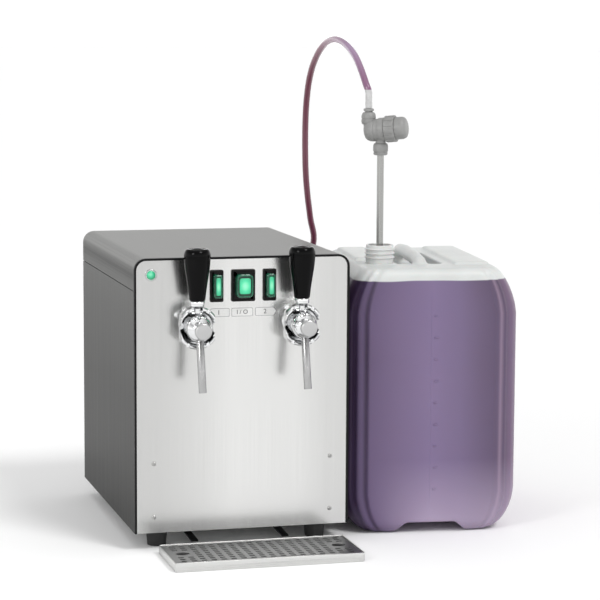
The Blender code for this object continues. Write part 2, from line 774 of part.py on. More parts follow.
def make_tray_stop():
    """Two strips that run forward and down from one cross bar under the base plate."""
    top = BASE_BOTTOM - GAP
    line = [(STOP_FLANGE_END, top), (STOP_FLANGE_START, top), (STOP_SLOPE_END, STOP_SLOPE_RISE),
            (STOP_FRONT, STOP_TIP_RISE)]
    bar = block("tray_stop", (-STOP_ASIDE, STOP_FLANGE_START + STOP_SHEET, top - STOP_SHEET),
                (STOP_ASIDE, STOP_FLANGE_END - STOP_SHEET, top))
    for _, side in SIDES:
        place = Matrix.Translation((side * STOP_ASIDE, 0, 0)) @ FACING_SIDE
        join(bar, bent_sheet("stop_strip", line, STOP_SHEET, -STOP_WIDTH / 2, STOP_WIDTH / 2, place))
    as_part(bar, BLACK_PLASTIC)


# Indicator lamp and switches

def make_lamp():
    place = (LAMP_INSET - HALF_WIDTH, -GAP, FOOT_HEIGHT + LAMP_HEIGHT)
    well = LAMP_RIM_RADIUS - LAMP_RIM_WALL
    body = turned("lamp_body", (
        (0, LAMP_FLOOR), (well, LAMP_FLOOR), (well, LAMP_RIM_HEIGHT), (LAMP_RIM_RADIUS, LAMP_RIM_HEIGHT / 2),
        (LAMP_RIM_RADIUS, 0), (LAMP_BARREL_RADIUS, 0), (LAMP_BARREL_RADIUS, -LAMP_DEPTH), (0, -LAMP_DEPTH),
    ), place, (0, -1, 0))
    as_part(body, CHROME)
    lens_radius = well - GAP
    lens_foot = LAMP_FLOOR + GAP
    lens = turned("lamp_lens", (
        (0, lens_foot + LAMP_DOME), (lens_radius / 2, lens_foot + LAMP_DOME * LAMP_SHOULDER_SHARE),
        (lens_radius, lens_foot + LAMP_DOME * LAMP_EDGE_SHARE), (lens_radius, lens_foot), (0, lens_foot),
    ), place, (0, -1, 0))
    as_part(lens, GREEN_LENS)


def switch_places():
    """X, frame width and boot width of each switch."""
    return {
        "pump_1": (-SWITCH_SPACING, NARROW_FRAME, NARROW_BOOT),
        "power": (0, WIDE_FRAME, WIDE_BOOT),
        "pump_2": (SWITCH_SPACING, NARROW_FRAME, NARROW_BOOT),
    }


def switch_body(name, x, frame, grow, front, back):
    """The part of a switch that passes through the panel, grown by a clearance."""
    half_width = frame / 2 - FRAME_OVERLAP + grow
    half_height = FRAME_HEIGHT / 2 - FRAME_OVERLAP + grow
    middle = FOOT_HEIGHT + SWITCH_HEIGHT
    return block(name, (x - half_width, front, middle - half_height),
                 (x + half_width, back, middle + half_height))


def make_switch(name, x, frame, boot):
    middle = FOOT_HEIGHT + SWITCH_HEIGHT
    front = -GAP - FRAME_LIP
    plate = block(f"{name}_switch_frame", (x - frame / 2, front, middle - FRAME_HEIGHT / 2),
                  (x + frame / 2, -GAP, middle + FRAME_HEIGHT / 2), FRAME_EDGE)
    half_boot = boot / 2
    half_well = half_boot - BOOT_WALL
    well_height = BOOT_HEIGHT / 2 - BOOT_WALL
    well = block("switch_well", (x - half_well, front - OVERRUN, middle - well_height),
                 (x + half_well, front + SWITCH_CAVITY, middle + well_height))
    body = switch_body("switch_body", x, frame, 0, front + FRAME_LIP / 2, SWITCH_DEPTH)
    as_part(cut(join(plate, body), well), BLACK_PLASTIC)

    half = ROCKER_HEIGHT / 2
    outline = [(-ROCKER_FRONT, half), (ROCKER_DISH - ROCKER_FRONT, 0), (-ROCKER_FRONT, -half),
               (ROCKER_EDGE - ROCKER_FRONT, -half), (ROCKER_HUB, -ROCKER_HUB), (ROCKER_HUB, ROCKER_HUB),
               (ROCKER_EDGE - ROCKER_FRONT, half)]
    rocker = slab(f"{name}_rocker", outline, 2 * (half_well - ROCKER_SIDE_GAP), FACING_SIDE)
    centre = Vector((x, front + ROCKER_PIVOT_DEPTH, middle))
    rocker.matrix_world = Matrix.Translation(centre) @ Matrix.Rotation(ROCKER_TILT, 4, "X") @ FACING_SIDE
    as_part(rocker, GREEN_LENS)
    pivot(f"{name}_rocker_pivot", centre, [rocker])

    seat = front - GAP
    cap = block(f"{name}_switch_boot", (x - half_boot, seat - BOOT_DEPTH, middle - BOOT_HEIGHT / 2),
                (x + half_boot, seat + BOOT_EDGE, middle + BOOT_HEIGHT / 2), BOOT_EDGE)
    hollow = block("boot_hollow", (x - half_well, seat - BOOT_DEPTH + BOOT_WALL, middle - well_height),
                   (x + half_well, seat + 2 * BOOT_EDGE, middle + well_height), BOOT_EDGE - BOOT_WALL)
    foot = block("boot_foot", (x - boot, seat, middle - BOOT_HEIGHT), (x + boot, seat + BOOT_DEPTH,
                                                                       middle + BOOT_HEIGHT))
    as_part(cut(cap, hollow, foot), GREEN_BOOT)


# Taps

def make_tap(word, side):
    x = side * TAP_SPACING / 2
    axis = (x, 0, TAP_Z)
    forward = (0, -1, 0)
    collar_front = COLLAR_REAR + COLLAR_LENGTH

    shank = turned(f"tap_shank_{word}", (
        (SHANK_BORE, COLLAR_REAR + SHANK_SEAT), (SHANK_RADIUS, COLLAR_REAR + SHANK_SEAT),
        (SHANK_RADIUS, GAP + ROSETTE_HEIGHT), (ROSETTE_RADIUS / 2 + SHANK_RADIUS / 2, GAP + ROSETTE_HEIGHT),
        (ROSETTE_RADIUS, GAP + ROSETTE_HEIGHT / 2), (ROSETTE_RADIUS, GAP), (SHANK_RADIUS, GAP),
        (SHANK_RADIUS, -SHANK_TAIL), (SHANK_BORE, -SHANK_TAIL),
    ), axis, forward)
    as_part(shank, CHROME)

    collar = turned(f"tap_collar_{word}", (
        (SHANK_RADIUS + GAP, COLLAR_REAR + COLLAR_WALL),
        (BALL_RADIUS + BALL_CLEAR, COLLAR_REAR + COLLAR_WALL),
        (BALL_RADIUS + BALL_CLEAR, collar_front), (COLLAR_RADIUS - COLLAR_EDGE, collar_front),
        (COLLAR_RADIUS, collar_front - COLLAR_EDGE), (COLLAR_RADIUS, COLLAR_REAR + COLLAR_EDGE),
        (COLLAR_RADIUS - COLLAR_EDGE, COLLAR_REAR), (SHANK_RADIUS + GAP, COLLAR_REAR),
    ), axis, forward, FINE)
    cuts = []
    for flat in (-1, 1):
        edges = sorted((x + flat * COLLAR_FLATS / 2, x + flat * (COLLAR_RADIUS + OVERRUN)))
        cuts.append(block("collar_flat", (edges[0], -collar_front - OVERRUN, TAP_Z - COLLAR_RADIUS - OVERRUN),
                          (edges[1], -COLLAR_REAR + OVERRUN, TAP_Z + COLLAR_RADIUS + OVERRUN)))
    slot = FERRULE_RADIUS + GAP
    cuts.append(block("lever_slot", (x - slot, -collar_front - OVERRUN, TAP_Z + SHANK_RADIUS + GAP),
                      (x + slot, -COLLAR_REAR + OVERRUN, TAP_Z + COLLAR_RADIUS + OVERRUN)))
    pivot_z = TAP_Z + LEVER_PIVOT_RISE
    reach = PIN_LENGTH / 2
    cuts.append(rod("pin_hole", (x - reach - GAP, -LEVER_FORWARD, pivot_z),
                    (x + reach + GAP, -LEVER_FORWARD, pivot_z), PIN_RADIUS + PIN_FREE))
    as_part(cut(collar, *cuts), CHROME)

    ball = bmesh.new()
    bmesh.ops.create_uvsphere(ball, u_segments=ROUND, v_segments=SMALL, radius=BALL_RADIUS)
    bmesh.ops.translate(ball, vec=(x, -BALL_FORWARD, TAP_Z), verts=ball.verts)
    ball = from_bmesh(f"tap_body_{word}", ball, smooth=True)
    tail_end = -COLLAR_REAR - COLLAR_WALL - GAP
    tail = rod("tap_body_tail", (x, -BALL_FORWARD, TAP_Z), (x, tail_end, TAP_Z),
               BALL_RADIUS - BALL_CLEAR, ROUND)
    behind = block("tap_body_back", (x - BALL_RADIUS, tail_end, TAP_Z - BALL_RADIUS),
                   (x + BALL_RADIUS, 0, TAP_Z + BALL_RADIUS))
    pearl = bmesh.new()
    bmesh.ops.create_uvsphere(pearl, u_segments=SMALL, v_segments=HEX, radius=PEARL_RADIUS)
    bmesh.ops.translate(pearl, vec=(x - PEARL_ASIDE, -PEARL_FORWARD, TAP_Z + PEARL_RISE), verts=pearl.verts)
    pearl = from_bmesh("flow_pearl", pearl)
    nose_foot = BALL_FORWARD + BALL_RADIUS + NOSE_NECK
    nose = turned("nose_cap", (
        (0, nose_foot + NOSE_LENGTH), (NOSE_RADIUS - NOSE_EDGE, nose_foot + NOSE_LENGTH),
        (NOSE_RADIUS, nose_foot + NOSE_LENGTH - NOSE_EDGE), (NOSE_RADIUS, nose_foot),
        (NOSE_NECK_RADIUS, nose_foot), (NOSE_NECK_RADIUS, BALL_FORWARD), (0, BALL_FORWARD),
    ), axis, forward, SMALL)
    lever_room = block("lever_room", (x - slot, -LEVER_FORWARD - STEM_ROOM, pivot_z - STEM_BELOW - GAP),
                       (x + slot, -COLLAR_REAR, TAP_Z + COLLAR_RADIUS))

    top = Vector((x, -SPOUT_TOP_FORWARD, TAP_Z - SPOUT_TOP_DROP))
    end = Vector((x, -SPOUT_END_FORWARD, TAP_Z - SPOUT_END_DROP))
    along = (end - top).normalized()
    socket = rod("spout_socket", top - along * GAP, end, SPOUT_RADIUS + GAP, SMALL)
    as_part(cut(join(ball, tail, pearl, nose), socket, lever_room, behind), CHROME)
    length = (end - top).length
    spout = turned(f"spout_{word}", (
        (SPOUT_RADIUS - SPOUT_WALL, length), (SPOUT_RADIUS, length),
        (SPOUT_RADIUS, 0), (SPOUT_RADIUS - SPOUT_WALL, 0),
    ), top, along, SMALL)
    as_part(spout, BRIGHT_STEEL)
    make_lever(word, x, pivot_z)


def make_lever(word, x, pivot_z):
    centre = (x, -LEVER_FORWARD, 0)
    cone_top = TAP_Z + FERRULE_BOTTOM_RISE + FERRULE_CONE
    stud_top = TAP_Z + FERRULE_TOP_RISE + STUD_HEIGHT
    seat = TAP_Z + FERRULE_TOP_RISE
    lever = turned(f"lever_{word}", (
        (0, stud_top), (STUD_RADIUS, stud_top), (STUD_RADIUS, seat), (FERRULE_RADIUS, seat),
        (FERRULE_RADIUS, cone_top), (FERRULE_NECK_RADIUS, TAP_Z + FERRULE_BOTTOM_RISE),
        (FERRULE_NECK_RADIUS, pivot_z - STEM_BELOW), (0, pivot_z - STEM_BELOW),
    ), centre)
    hole = rod("lever_pin_hole", (x - FERRULE_RADIUS, -LEVER_FORWARD, pivot_z),
               (x + FERRULE_RADIUS, -LEVER_FORWARD, pivot_z), PIN_RADIUS + PIN_FREE)
    as_part(cut(lever, hole), CHROME)

    foot = seat + GAP
    height = TAP_Z + HANDLE_TOP_RISE - foot
    bore = STUD_RADIUS + GAP
    handle = turned(f"lever_handle_{word}", (
        (0, foot + height), (HANDLE_RADIUS / 2, foot + height - HANDLE_DOME / 2),
        (HANDLE_RADIUS * HANDLE_TOP_RADIUS_SHARE, foot + height - HANDLE_DOME * 2),
        (HANDLE_RADIUS, foot + height * HANDLE_SHOULDER_SHARE),
        (HANDLE_RADIUS, foot + height * HANDLE_WAIST_SHARE),
        (HANDLE_BOTTOM_RADIUS, foot), (bore, foot), (bore, foot + STUD_HEIGHT), (0, foot + STUD_HEIGHT),
    ), centre)
    as_part(handle, BLACK_GLOSS)
    pivot(f"lever_pivot_{word}", (x, -LEVER_FORWARD, pivot_z), [lever, handle])


def make_tap_fasteners(word, side):
    """The nut behind the panel and the pin that the lever turns on."""
    x = side * TAP_SPACING / 2
    front = PANEL_SHEET + GAP
    back = front + SHANK_NUT_HEIGHT
    nut = rod(f"shank_nut_{word}", (x, front, TAP_Z), (x, back, TAP_Z), SHANK_NUT_RADIUS, HEX)
    bore = rod("nut_bore", (x, front - OVERRUN, TAP_Z), (x, back + OVERRUN, TAP_Z), SHANK_RADIUS + GAP, ROUND)
    as_part(cut(nut, bore), BRASS)
    pivot_z = TAP_Z + LEVER_PIVOT_RISE
    pin = rod(f"lever_pin_{word}", (x - PIN_LENGTH / 2, -LEVER_FORWARD, pivot_z),
              (x + PIN_LENGTH / 2, -LEVER_FORWARD, pivot_z), PIN_RADIUS)
    as_part(pin, CHROME)


# Pumps, heater, tubes and board inside

def make_pumps():
    for word, side in SIDES:
        x = side * PUMP_ASIDE
        back = PUMP_FRONT + PUMP_LENGTH
        pump = turned(f"pump_{word}", (
            (0, PUMP_LENGTH + PUMP_NECK), (PUMP_NECK_RADIUS, PUMP_LENGTH + PUMP_NECK),
            (PUMP_NECK_RADIUS, PUMP_LENGTH), (PUMP_RADIUS, PUMP_LENGTH), (PUMP_RADIUS, 0),
            (PUMP_NECK_RADIUS, 0), (PUMP_NECK_RADIUS, -PUMP_NECK), (0, -PUMP_NECK),
        ), (x, PUMP_FRONT, PUMP_Z), (0, 1, 0))
        middle = (PUMP_FRONT + back) / 2
        half_width, half_length = PUMP_SADDLE_WIDTH / 2, PUMP_SADDLE_LENGTH / 2
        saddle = block("pump_saddle", (x - half_width, middle - half_length, BASE_TOP + GAP),
                       (x + half_width, middle + half_length, PUMP_Z))
        as_part(join(pump, saddle), BLACK_PLASTIC)


def make_heater():
    half = HEATER_WIDTH / 2
    heater = block("heater_block", (-half, HEATER_FRONT, HEATER_BOTTOM), (half, HEATER_BACK, HEATER_TOP),
                   HEATER_EDGE)
    for _, side in SIDES:
        inner, outer = sorted((side * (half - HEATER_EDGE), side * (half - HEATER_EDGE - HEATER_LEG)))
        join(heater, block("heater_leg", (inner, HEATER_FRONT + HEATER_LEG, BASE_TOP + GAP),
                           (outer, HEATER_BACK - HEATER_LEG, HEATER_BOTTOM + HEATER_EDGE)))
        x, z = side * ROD_SPACING / 2, HEATER_TOP - ROD_DROP
        join(heater, rod("heater_terminal", (x, HEATER_BACK - HEATER_EDGE, z),
                         (x, HEATER_BACK + ROD_LENGTH, z), ROD_RADIUS, TINY))
    as_part(heater, CAST_ALUMINIUM)
    thermostat = turned("thermostat", (
        (0, THERMOSTAT_HEIGHT), (THERMOSTAT_RADIUS - THERMOSTAT_EDGE, THERMOSTAT_HEIGHT),
        (THERMOSTAT_RADIUS, THERMOSTAT_HEIGHT - THERMOSTAT_EDGE), (THERMOSTAT_RADIUS, 0), (0, 0),
    ), (0, HEATER_FRONT + HEATER_LENGTH / 2, HEATER_TOP + GAP), sides=SMALL)
    as_part(thermostat, BLACK_PLASTIC)


def make_wine_tubes():
    port_y = HEATER_FRONT + HEATER_FEED_BACK
    out_y = HEATER_FRONT + HEATER_OUTLET_BACK
    for word, side in SIDES:
        x = side * PUMP_ASIDE
        corners = [(x, PUMP_FRONT - PUMP_NECK - GAP, PUMP_Z), (x, port_y, PUMP_Z),
                   (side * (HEATER_WIDTH / 2 + GAP), port_y, PUMP_Z)]
        as_part(tube(f"feed_tube_{word}", rounded(corners, TUBE_BEND), TUBE_RADIUS), WHITE_TUBE)
        out_x, tap_x = side * HEATER_OUTLET_ASIDE, side * TAP_SPACING / 2
        corners = [(out_x, out_y, HEATER_TOP + GAP), (out_x, out_y, TAP_Z), (tap_x, out_y - TUBE_BEND, TAP_Z),
                   (tap_x, SHANK_TAIL + GAP, TAP_Z)]
        as_part(tube(f"outlet_tube_{word}", rounded(corners, TUBE_BEND / 2), TUBE_RADIUS), WHITE_TUBE)


def make_control_board():
    back = REAR_FRONT - GAP
    face = back - BOARD_POST
    bottom = FOOT_HEIGHT + BOARD_RISE - BOARD_HEIGHT / 2
    top = bottom + BOARD_HEIGHT
    half, middle = BOARD_WIDTH / 2, face - BOARD_SHEET / 2
    board = block("control_board", (-half, face - BOARD_SHEET, bottom), (half, face, top))
    for _, side in SIDES:
        for z in (bottom + BOARD_POST_INSET, top - BOARD_POST_INSET):
            x = side * (half - BOARD_POST_INSET)
            join(board, rod("board_post", (x, middle, z), (x, back, z), BOARD_POST_RADIUS))
    foot = bottom + BOARD_POST_INSET
    relay = block("relay", (-RELAY_SIZE / 2, middle - RELAY_SIZE / 2, foot),
                  (RELAY_SIZE / 2, middle, foot + RELAY_SIZE))
    as_part(join(board, relay), BOARD_GREEN)


def socket_z(side):
    return FOOT_HEIGHT + SOCKET_RISE + side * SOCKET_HEIGHT / 2


def make_rear_fittings():
    seat = BODY_DEPTH + GAP
    half = SOCKET_WIDTH / 2
    low, high = socket_z(-1), socket_z(1)
    rim = half + SOCKET_FLANGE
    flange = block("power_inlet", (-rim, seat, low - SOCKET_FLANGE),
                   (rim, seat + SOCKET_FLANGE_SHEET, high + SOCKET_FLANGE), SOCKET_EDGE / 2)
    body = block("socket_body", (-half, BODY_DEPTH - SOCKET_DEPTH, low),
                 (half, seat + SOCKET_FLANGE_SHEET / 2, high))
    hollow = block("socket_hollow", (SOCKET_WALL - half, BODY_DEPTH - SOCKET_CAVITY, low + SOCKET_WALL),
                   (half - SOCKET_WALL, seat + SOCKET_FLANGE_SHEET + OVERRUN, high - SOCKET_WALL))
    as_part(cut(join(flange, body), hollow), BLACK_PLASTIC)
    reach = INLET_REACH
    bore = TUBE_RADIUS / 2
    tail = BODY_DEPTH - PUMP_FRONT - PUMP_LENGTH - PUMP_NECK - GAP
    for word, side in SIDES:
        inlet = turned(f"wine_inlet_{word}", (
            (bore, reach), (INLET_COLLAR_RADIUS - INLET_EDGE, reach),
            (INLET_COLLAR_RADIUS, reach - INLET_EDGE),
            (INLET_COLLAR_RADIUS, GAP + INLET_FLANGE), (INLET_FLANGE_RADIUS, GAP + INLET_FLANGE),
            (INLET_FLANGE_RADIUS, GAP), (INLET_RADIUS, GAP), (INLET_RADIUS, -tail), (bore, -tail),
        ), (side * PUMP_ASIDE, BODY_DEPTH, PUMP_Z), (0, 1, 0), SMALL)
        as_part(inlet, GREY_PLASTIC)


# Drip tray and grid

def slot_places(width, depth):
    """Middles of the grid's slots, and the pitches, without those where the finger holes are."""
    across = (width - 2 * GRID_MARGIN) / GRID_COLUMNS
    along = (depth - 2 * GRID_MARGIN) / GRID_ROWS
    first_finger = (GRID_ROWS - FINGER_ROWS) // 2
    places = []
    for column in range(GRID_COLUMNS):
        at_end = column < FINGER_COLUMNS or column >= GRID_COLUMNS - FINGER_COLUMNS
        for row in range(GRID_ROWS):
            if at_end and first_finger <= row < first_finger + FINGER_ROWS:
                continue
            places.append((GRID_MARGIN + across * (column + 0.5), GRID_MARGIN + along * (row + 0.5)))
    return places, across, along


def make_drip_tray():
    left, right = TRAY_ASIDE - TRAY_WIDTH / 2, TRAY_ASIDE + TRAY_WIDTH / 2
    front, back = -TRAY_BACK - TRAY_DEPTH, -TRAY_BACK
    tray = block("drip_tray", (left, front, 0), (right, back, TRAY_HEIGHT))
    pan = block("tray_pan", (left + TRAY_SHEET, front + TRAY_SHEET, TRAY_SHEET),
                (right - TRAY_SHEET, back - TRAY_SHEET, TRAY_HEIGHT + OVERRUN))
    as_part(cut(tray, pan), BRIGHT_STEEL)

    inset = TRAY_SHEET + GRID_SIDE_GAP
    left, right, front, back = left + inset, right - inset, front + inset, back - inset
    foot, top = TRAY_SHEET + GAP, TRAY_HEIGHT - GRID_BELOW_RIM
    grid = block("drip_grid", (left, front, foot), (right, back, top))
    under = block("grid_hollow", (left + TRAY_SHEET, front + TRAY_SHEET, foot - OVERRUN),
                  (right - TRAY_SHEET, back - TRAY_SHEET, top - TRAY_SHEET))
    places, across, along = slot_places(right - left, back - front)
    slots = []
    for x, y in places:
        half_x, half_y = across * SLOT_WIDTH_SHARE / 2, along * SLOT_DEPTH_SHARE / 2
        slots.append(block("slot", (left + x - half_x, front + y - half_y, foot + TRAY_SHEET),
                           (left + x + half_x, front + y + half_y, top + OVERRUN)))
    finger_inset = GRID_MARGIN + across * FINGER_COLUMNS / 2
    for end in (left + finger_inset, right - finger_inset):
        oval = rod("finger_hole", (0, 0, foot + TRAY_SHEET), (0, 0, top + OVERRUN), 1, FINGER_SIDES)
        oval.data.transform(Matrix.Translation((end, (front + back) / 2, 0))
                            @ Matrix.Diagonal((FINGER_WIDTH / 2, FINGER_DEPTH / 2, 1, 1)))
        slots.append(oval)
    as_part(cut(grid, under, group("grid_slots", slots)), BRIGHT_STEEL)


# Canister, lance and strainer

def canister_place():
    return Matrix.Translation((CANISTER_ASIDE, CANISTER_BACK, 0)) @ Matrix.Rotation(CANISTER_TURN, 4, "Z")


def bevel_where(form, test, offset, segments):
    edges = [edge for edge in form.edges if test(edge)]
    bmesh.ops.bevel(form, geom=edges, offset=offset, segments=segments, profile=0.5, affect="EDGES")


def canister_outline(inset):
    """The canister from the front: oval feet and shoulders, and sides just outside the box they trim."""
    side, top = CANISTER_WIDTH / 2 - inset, CANISTER_HEIGHT - inset
    turns = [math.pi / 2 * index / OVAL_STEPS for index in range(1, OVAL_STEPS)]
    half = [(side - FOOT_OVAL_WIDTH, inset - GAP)]
    for turn in turns:
        half.append((side - FOOT_OVAL_WIDTH * (1 - math.sin(turn)),
                     inset + FOOT_OVAL_HEIGHT * (1 - math.cos(turn))))
    half += [(side + GAP, inset + FOOT_OVAL_HEIGHT), (side + GAP, top - SHOULDER_OVAL_HEIGHT)]
    for turn in turns:
        half.append((side - SHOULDER_OVAL_WIDTH * (1 - math.cos(turn)),
                     top - SHOULDER_OVAL_HEIGHT * (1 - math.sin(turn))))
    half.append((side - SHOULDER_OVAL_WIDTH, top + GAP))
    return half + [(-x, z) for x, z in reversed(half)]


def canister_form(name, inset):
    """The canister's rounded box with its stacking channel and grip recess, drawn in by inset."""
    low = Vector((-CANISTER_WIDTH / 2 + inset, inset, inset))
    high = Vector((CANISTER_WIDTH / 2 - inset, CANISTER_LENGTH - inset, CANISTER_HEIGHT - inset))
    form = bmesh.new()
    bmesh.ops.create_cube(form, size=1.0)
    bmesh.ops.scale(form, vec=high - low, verts=form.verts)
    bmesh.ops.translate(form, vec=(low + high) / 2, verts=form.verts)
    upright = (high.z - low.z) / 2
    bevel_where(form, lambda edge: abs(edge.verts[0].co.z - edge.verts[1].co.z) > upright,
                CANISTER_CORNER - inset, 4)
    bevel_where(form, lambda edge: max(vert.co.z for vert in edge.verts) < low.z + WELD,
                CANISTER_FOOT_EDGE - inset, 2)
    bevel_where(form, lambda edge: min(vert.co.z for vert in edge.verts) > high.z - WELD,
                CANISTER_TOP_EDGE - inset, 3)
    body = from_bmesh(name, form, smooth=True)
    sides = front_slab("canister_outline", canister_outline(inset), -OVERRUN, CANISTER_LENGTH + 2 * OVERRUN)
    combine(body, "INTERSECT", [sides])
    bottom, top = CHANNEL_WIDTH / 2 + inset, CHANNEL_TOP_WIDTH / 2 + inset
    outline = [(-bottom - inset, -OVERRUN), (bottom + inset, -OVERRUN), (bottom, 0),
               (top, CHANNEL_HEIGHT + inset), (-top, CHANNEL_HEIGHT + inset), (-bottom, 0)]
    channel = front_slab("stacking_channel", outline, -OVERRUN, CANISTER_LENGTH + 2 * OVERRUN)
    half = RECESS_WIDTH / 2 + inset
    floor = CANISTER_HEIGHT - RECESS_DEPTH - inset
    recess = block("grip_recess", (GRIP_ASIDE - half, RECESS_FRONT - inset, floor),
                   (GRIP_ASIDE + half, RECESS_BACK + inset, CANISTER_HEIGHT + 2 * RECESS_EDGE), RECESS_EDGE)
    return cut(body, channel, recess)


def canister_grip():
    """The flat hollow-looking handle arch over the recess."""
    top, root = CANISTER_HEIGHT + GRIP_RISE, CANISTER_HEIGHT - GRIP_RISE
    corners = [(0, GRIP_FRONT, root), (0, GRIP_FRONT, top), (0, GRIP_BACK, top), (0, GRIP_BACK, root)]
    grip = to_mesh(tube("grip", rounded(corners, GRIP_CORNER, GRIP_STEPS), GRIP_RADIUS))
    grip.data.transform(Matrix.Translation((GRIP_ASIDE, 0, 0)) @ Matrix.Diagonal((GRIP_WIDTH_SCALE, 1, 1, 1)))
    return grip


def canister_neck():
    top = CANISTER_HEIGHT + NECK_HEIGHT
    profile = [(0, top), (NECK_RADIUS, top)]
    for index in range(THREADS):
        middle = top - THREAD_PITCH * (index + 1)
        rise = THREAD_RADIUS - NECK_RADIUS
        profile += [(NECK_RADIUS, middle + rise), (THREAD_RADIUS, middle), (NECK_RADIUS, middle - rise)]
    root = CANISTER_HEIGHT - CANISTER_WALL / 2
    profile += [(NECK_RADIUS, root), (0, root)]
    return turned("neck", profile, (NECK_ASIDE, NECK_BACK, 0))


def make_canister():
    body = canister_form("canister", 0)
    pads = []
    for front, left, right in ((RIGHT_PAD_FRONT, RIGHT_PAD_INNER, PAD_OUTER),
                               (LEFT_PAD_FRONT, -PAD_OUTER, -LEFT_PAD_INNER)):
        pads.append(block("stacking_pad", (left, front, CANISTER_HEIGHT - PAD_HEIGHT),
                          (right, PAD_BACK, CANISTER_HEIGHT + PAD_HEIGHT), PAD_EDGE))
    hollow = canister_form("canister_hollow", CANISTER_WALL)
    bore = rod("neck_bore", (NECK_ASIDE, NECK_BACK, CANISTER_HEIGHT - 2 * CANISTER_WALL),
               (NECK_ASIDE, NECK_BACK, CANISTER_HEIGHT + NECK_HEIGHT + OVERRUN),
               NECK_RADIUS - NECK_WALL, ROUND)
    join(body, *pads, canister_grip(), canister_neck())
    cut(body, hollow, bore)
    body.matrix_world = canister_place()
    for step in body.modifiers:
        step.object.matrix_world = canister_place() @ step.object.matrix_world
    for step in hollow.modifiers:
        step.object.matrix_world = canister_place() @ step.object.matrix_world
    as_part(body, CANISTER_PLASTIC)


def lance_foot():
    return canister_place() @ Vector((NECK_ASIDE, NECK_BACK, CANISTER_WALL + GAP))


def make_lance():
    foot = lance_foot()
    length = STRAINER_HEIGHT - LOWER_COLLAR_TOP - LOWER_COLLAR + LANCE_SEAT - foot.z
    inner = LANCE_RADIUS - LANCE_WALL
    lance = turned("suction_lance", ((inner, length), (LANCE_RADIUS, length), (LANCE_RADIUS, 0), (inner, 0)),
                   foot, sides=SMALL)
    as_part(lance, BRIGHT_STEEL)


def strainer_centre():
    foot = lance_foot()
    return Vector((foot.x, foot.y, STRAINER_HEIGHT))


def hose_port():
    """The hose's end: the middle of the upper port's face."""
    port = strainer_centre() - STRAINER_AXIS * PORT_SIDE
    port.z = STRAINER_HEIGHT + UPPER_COLLAR_TOP + UPPER_NECK + UPPER_FLANGE
    return port


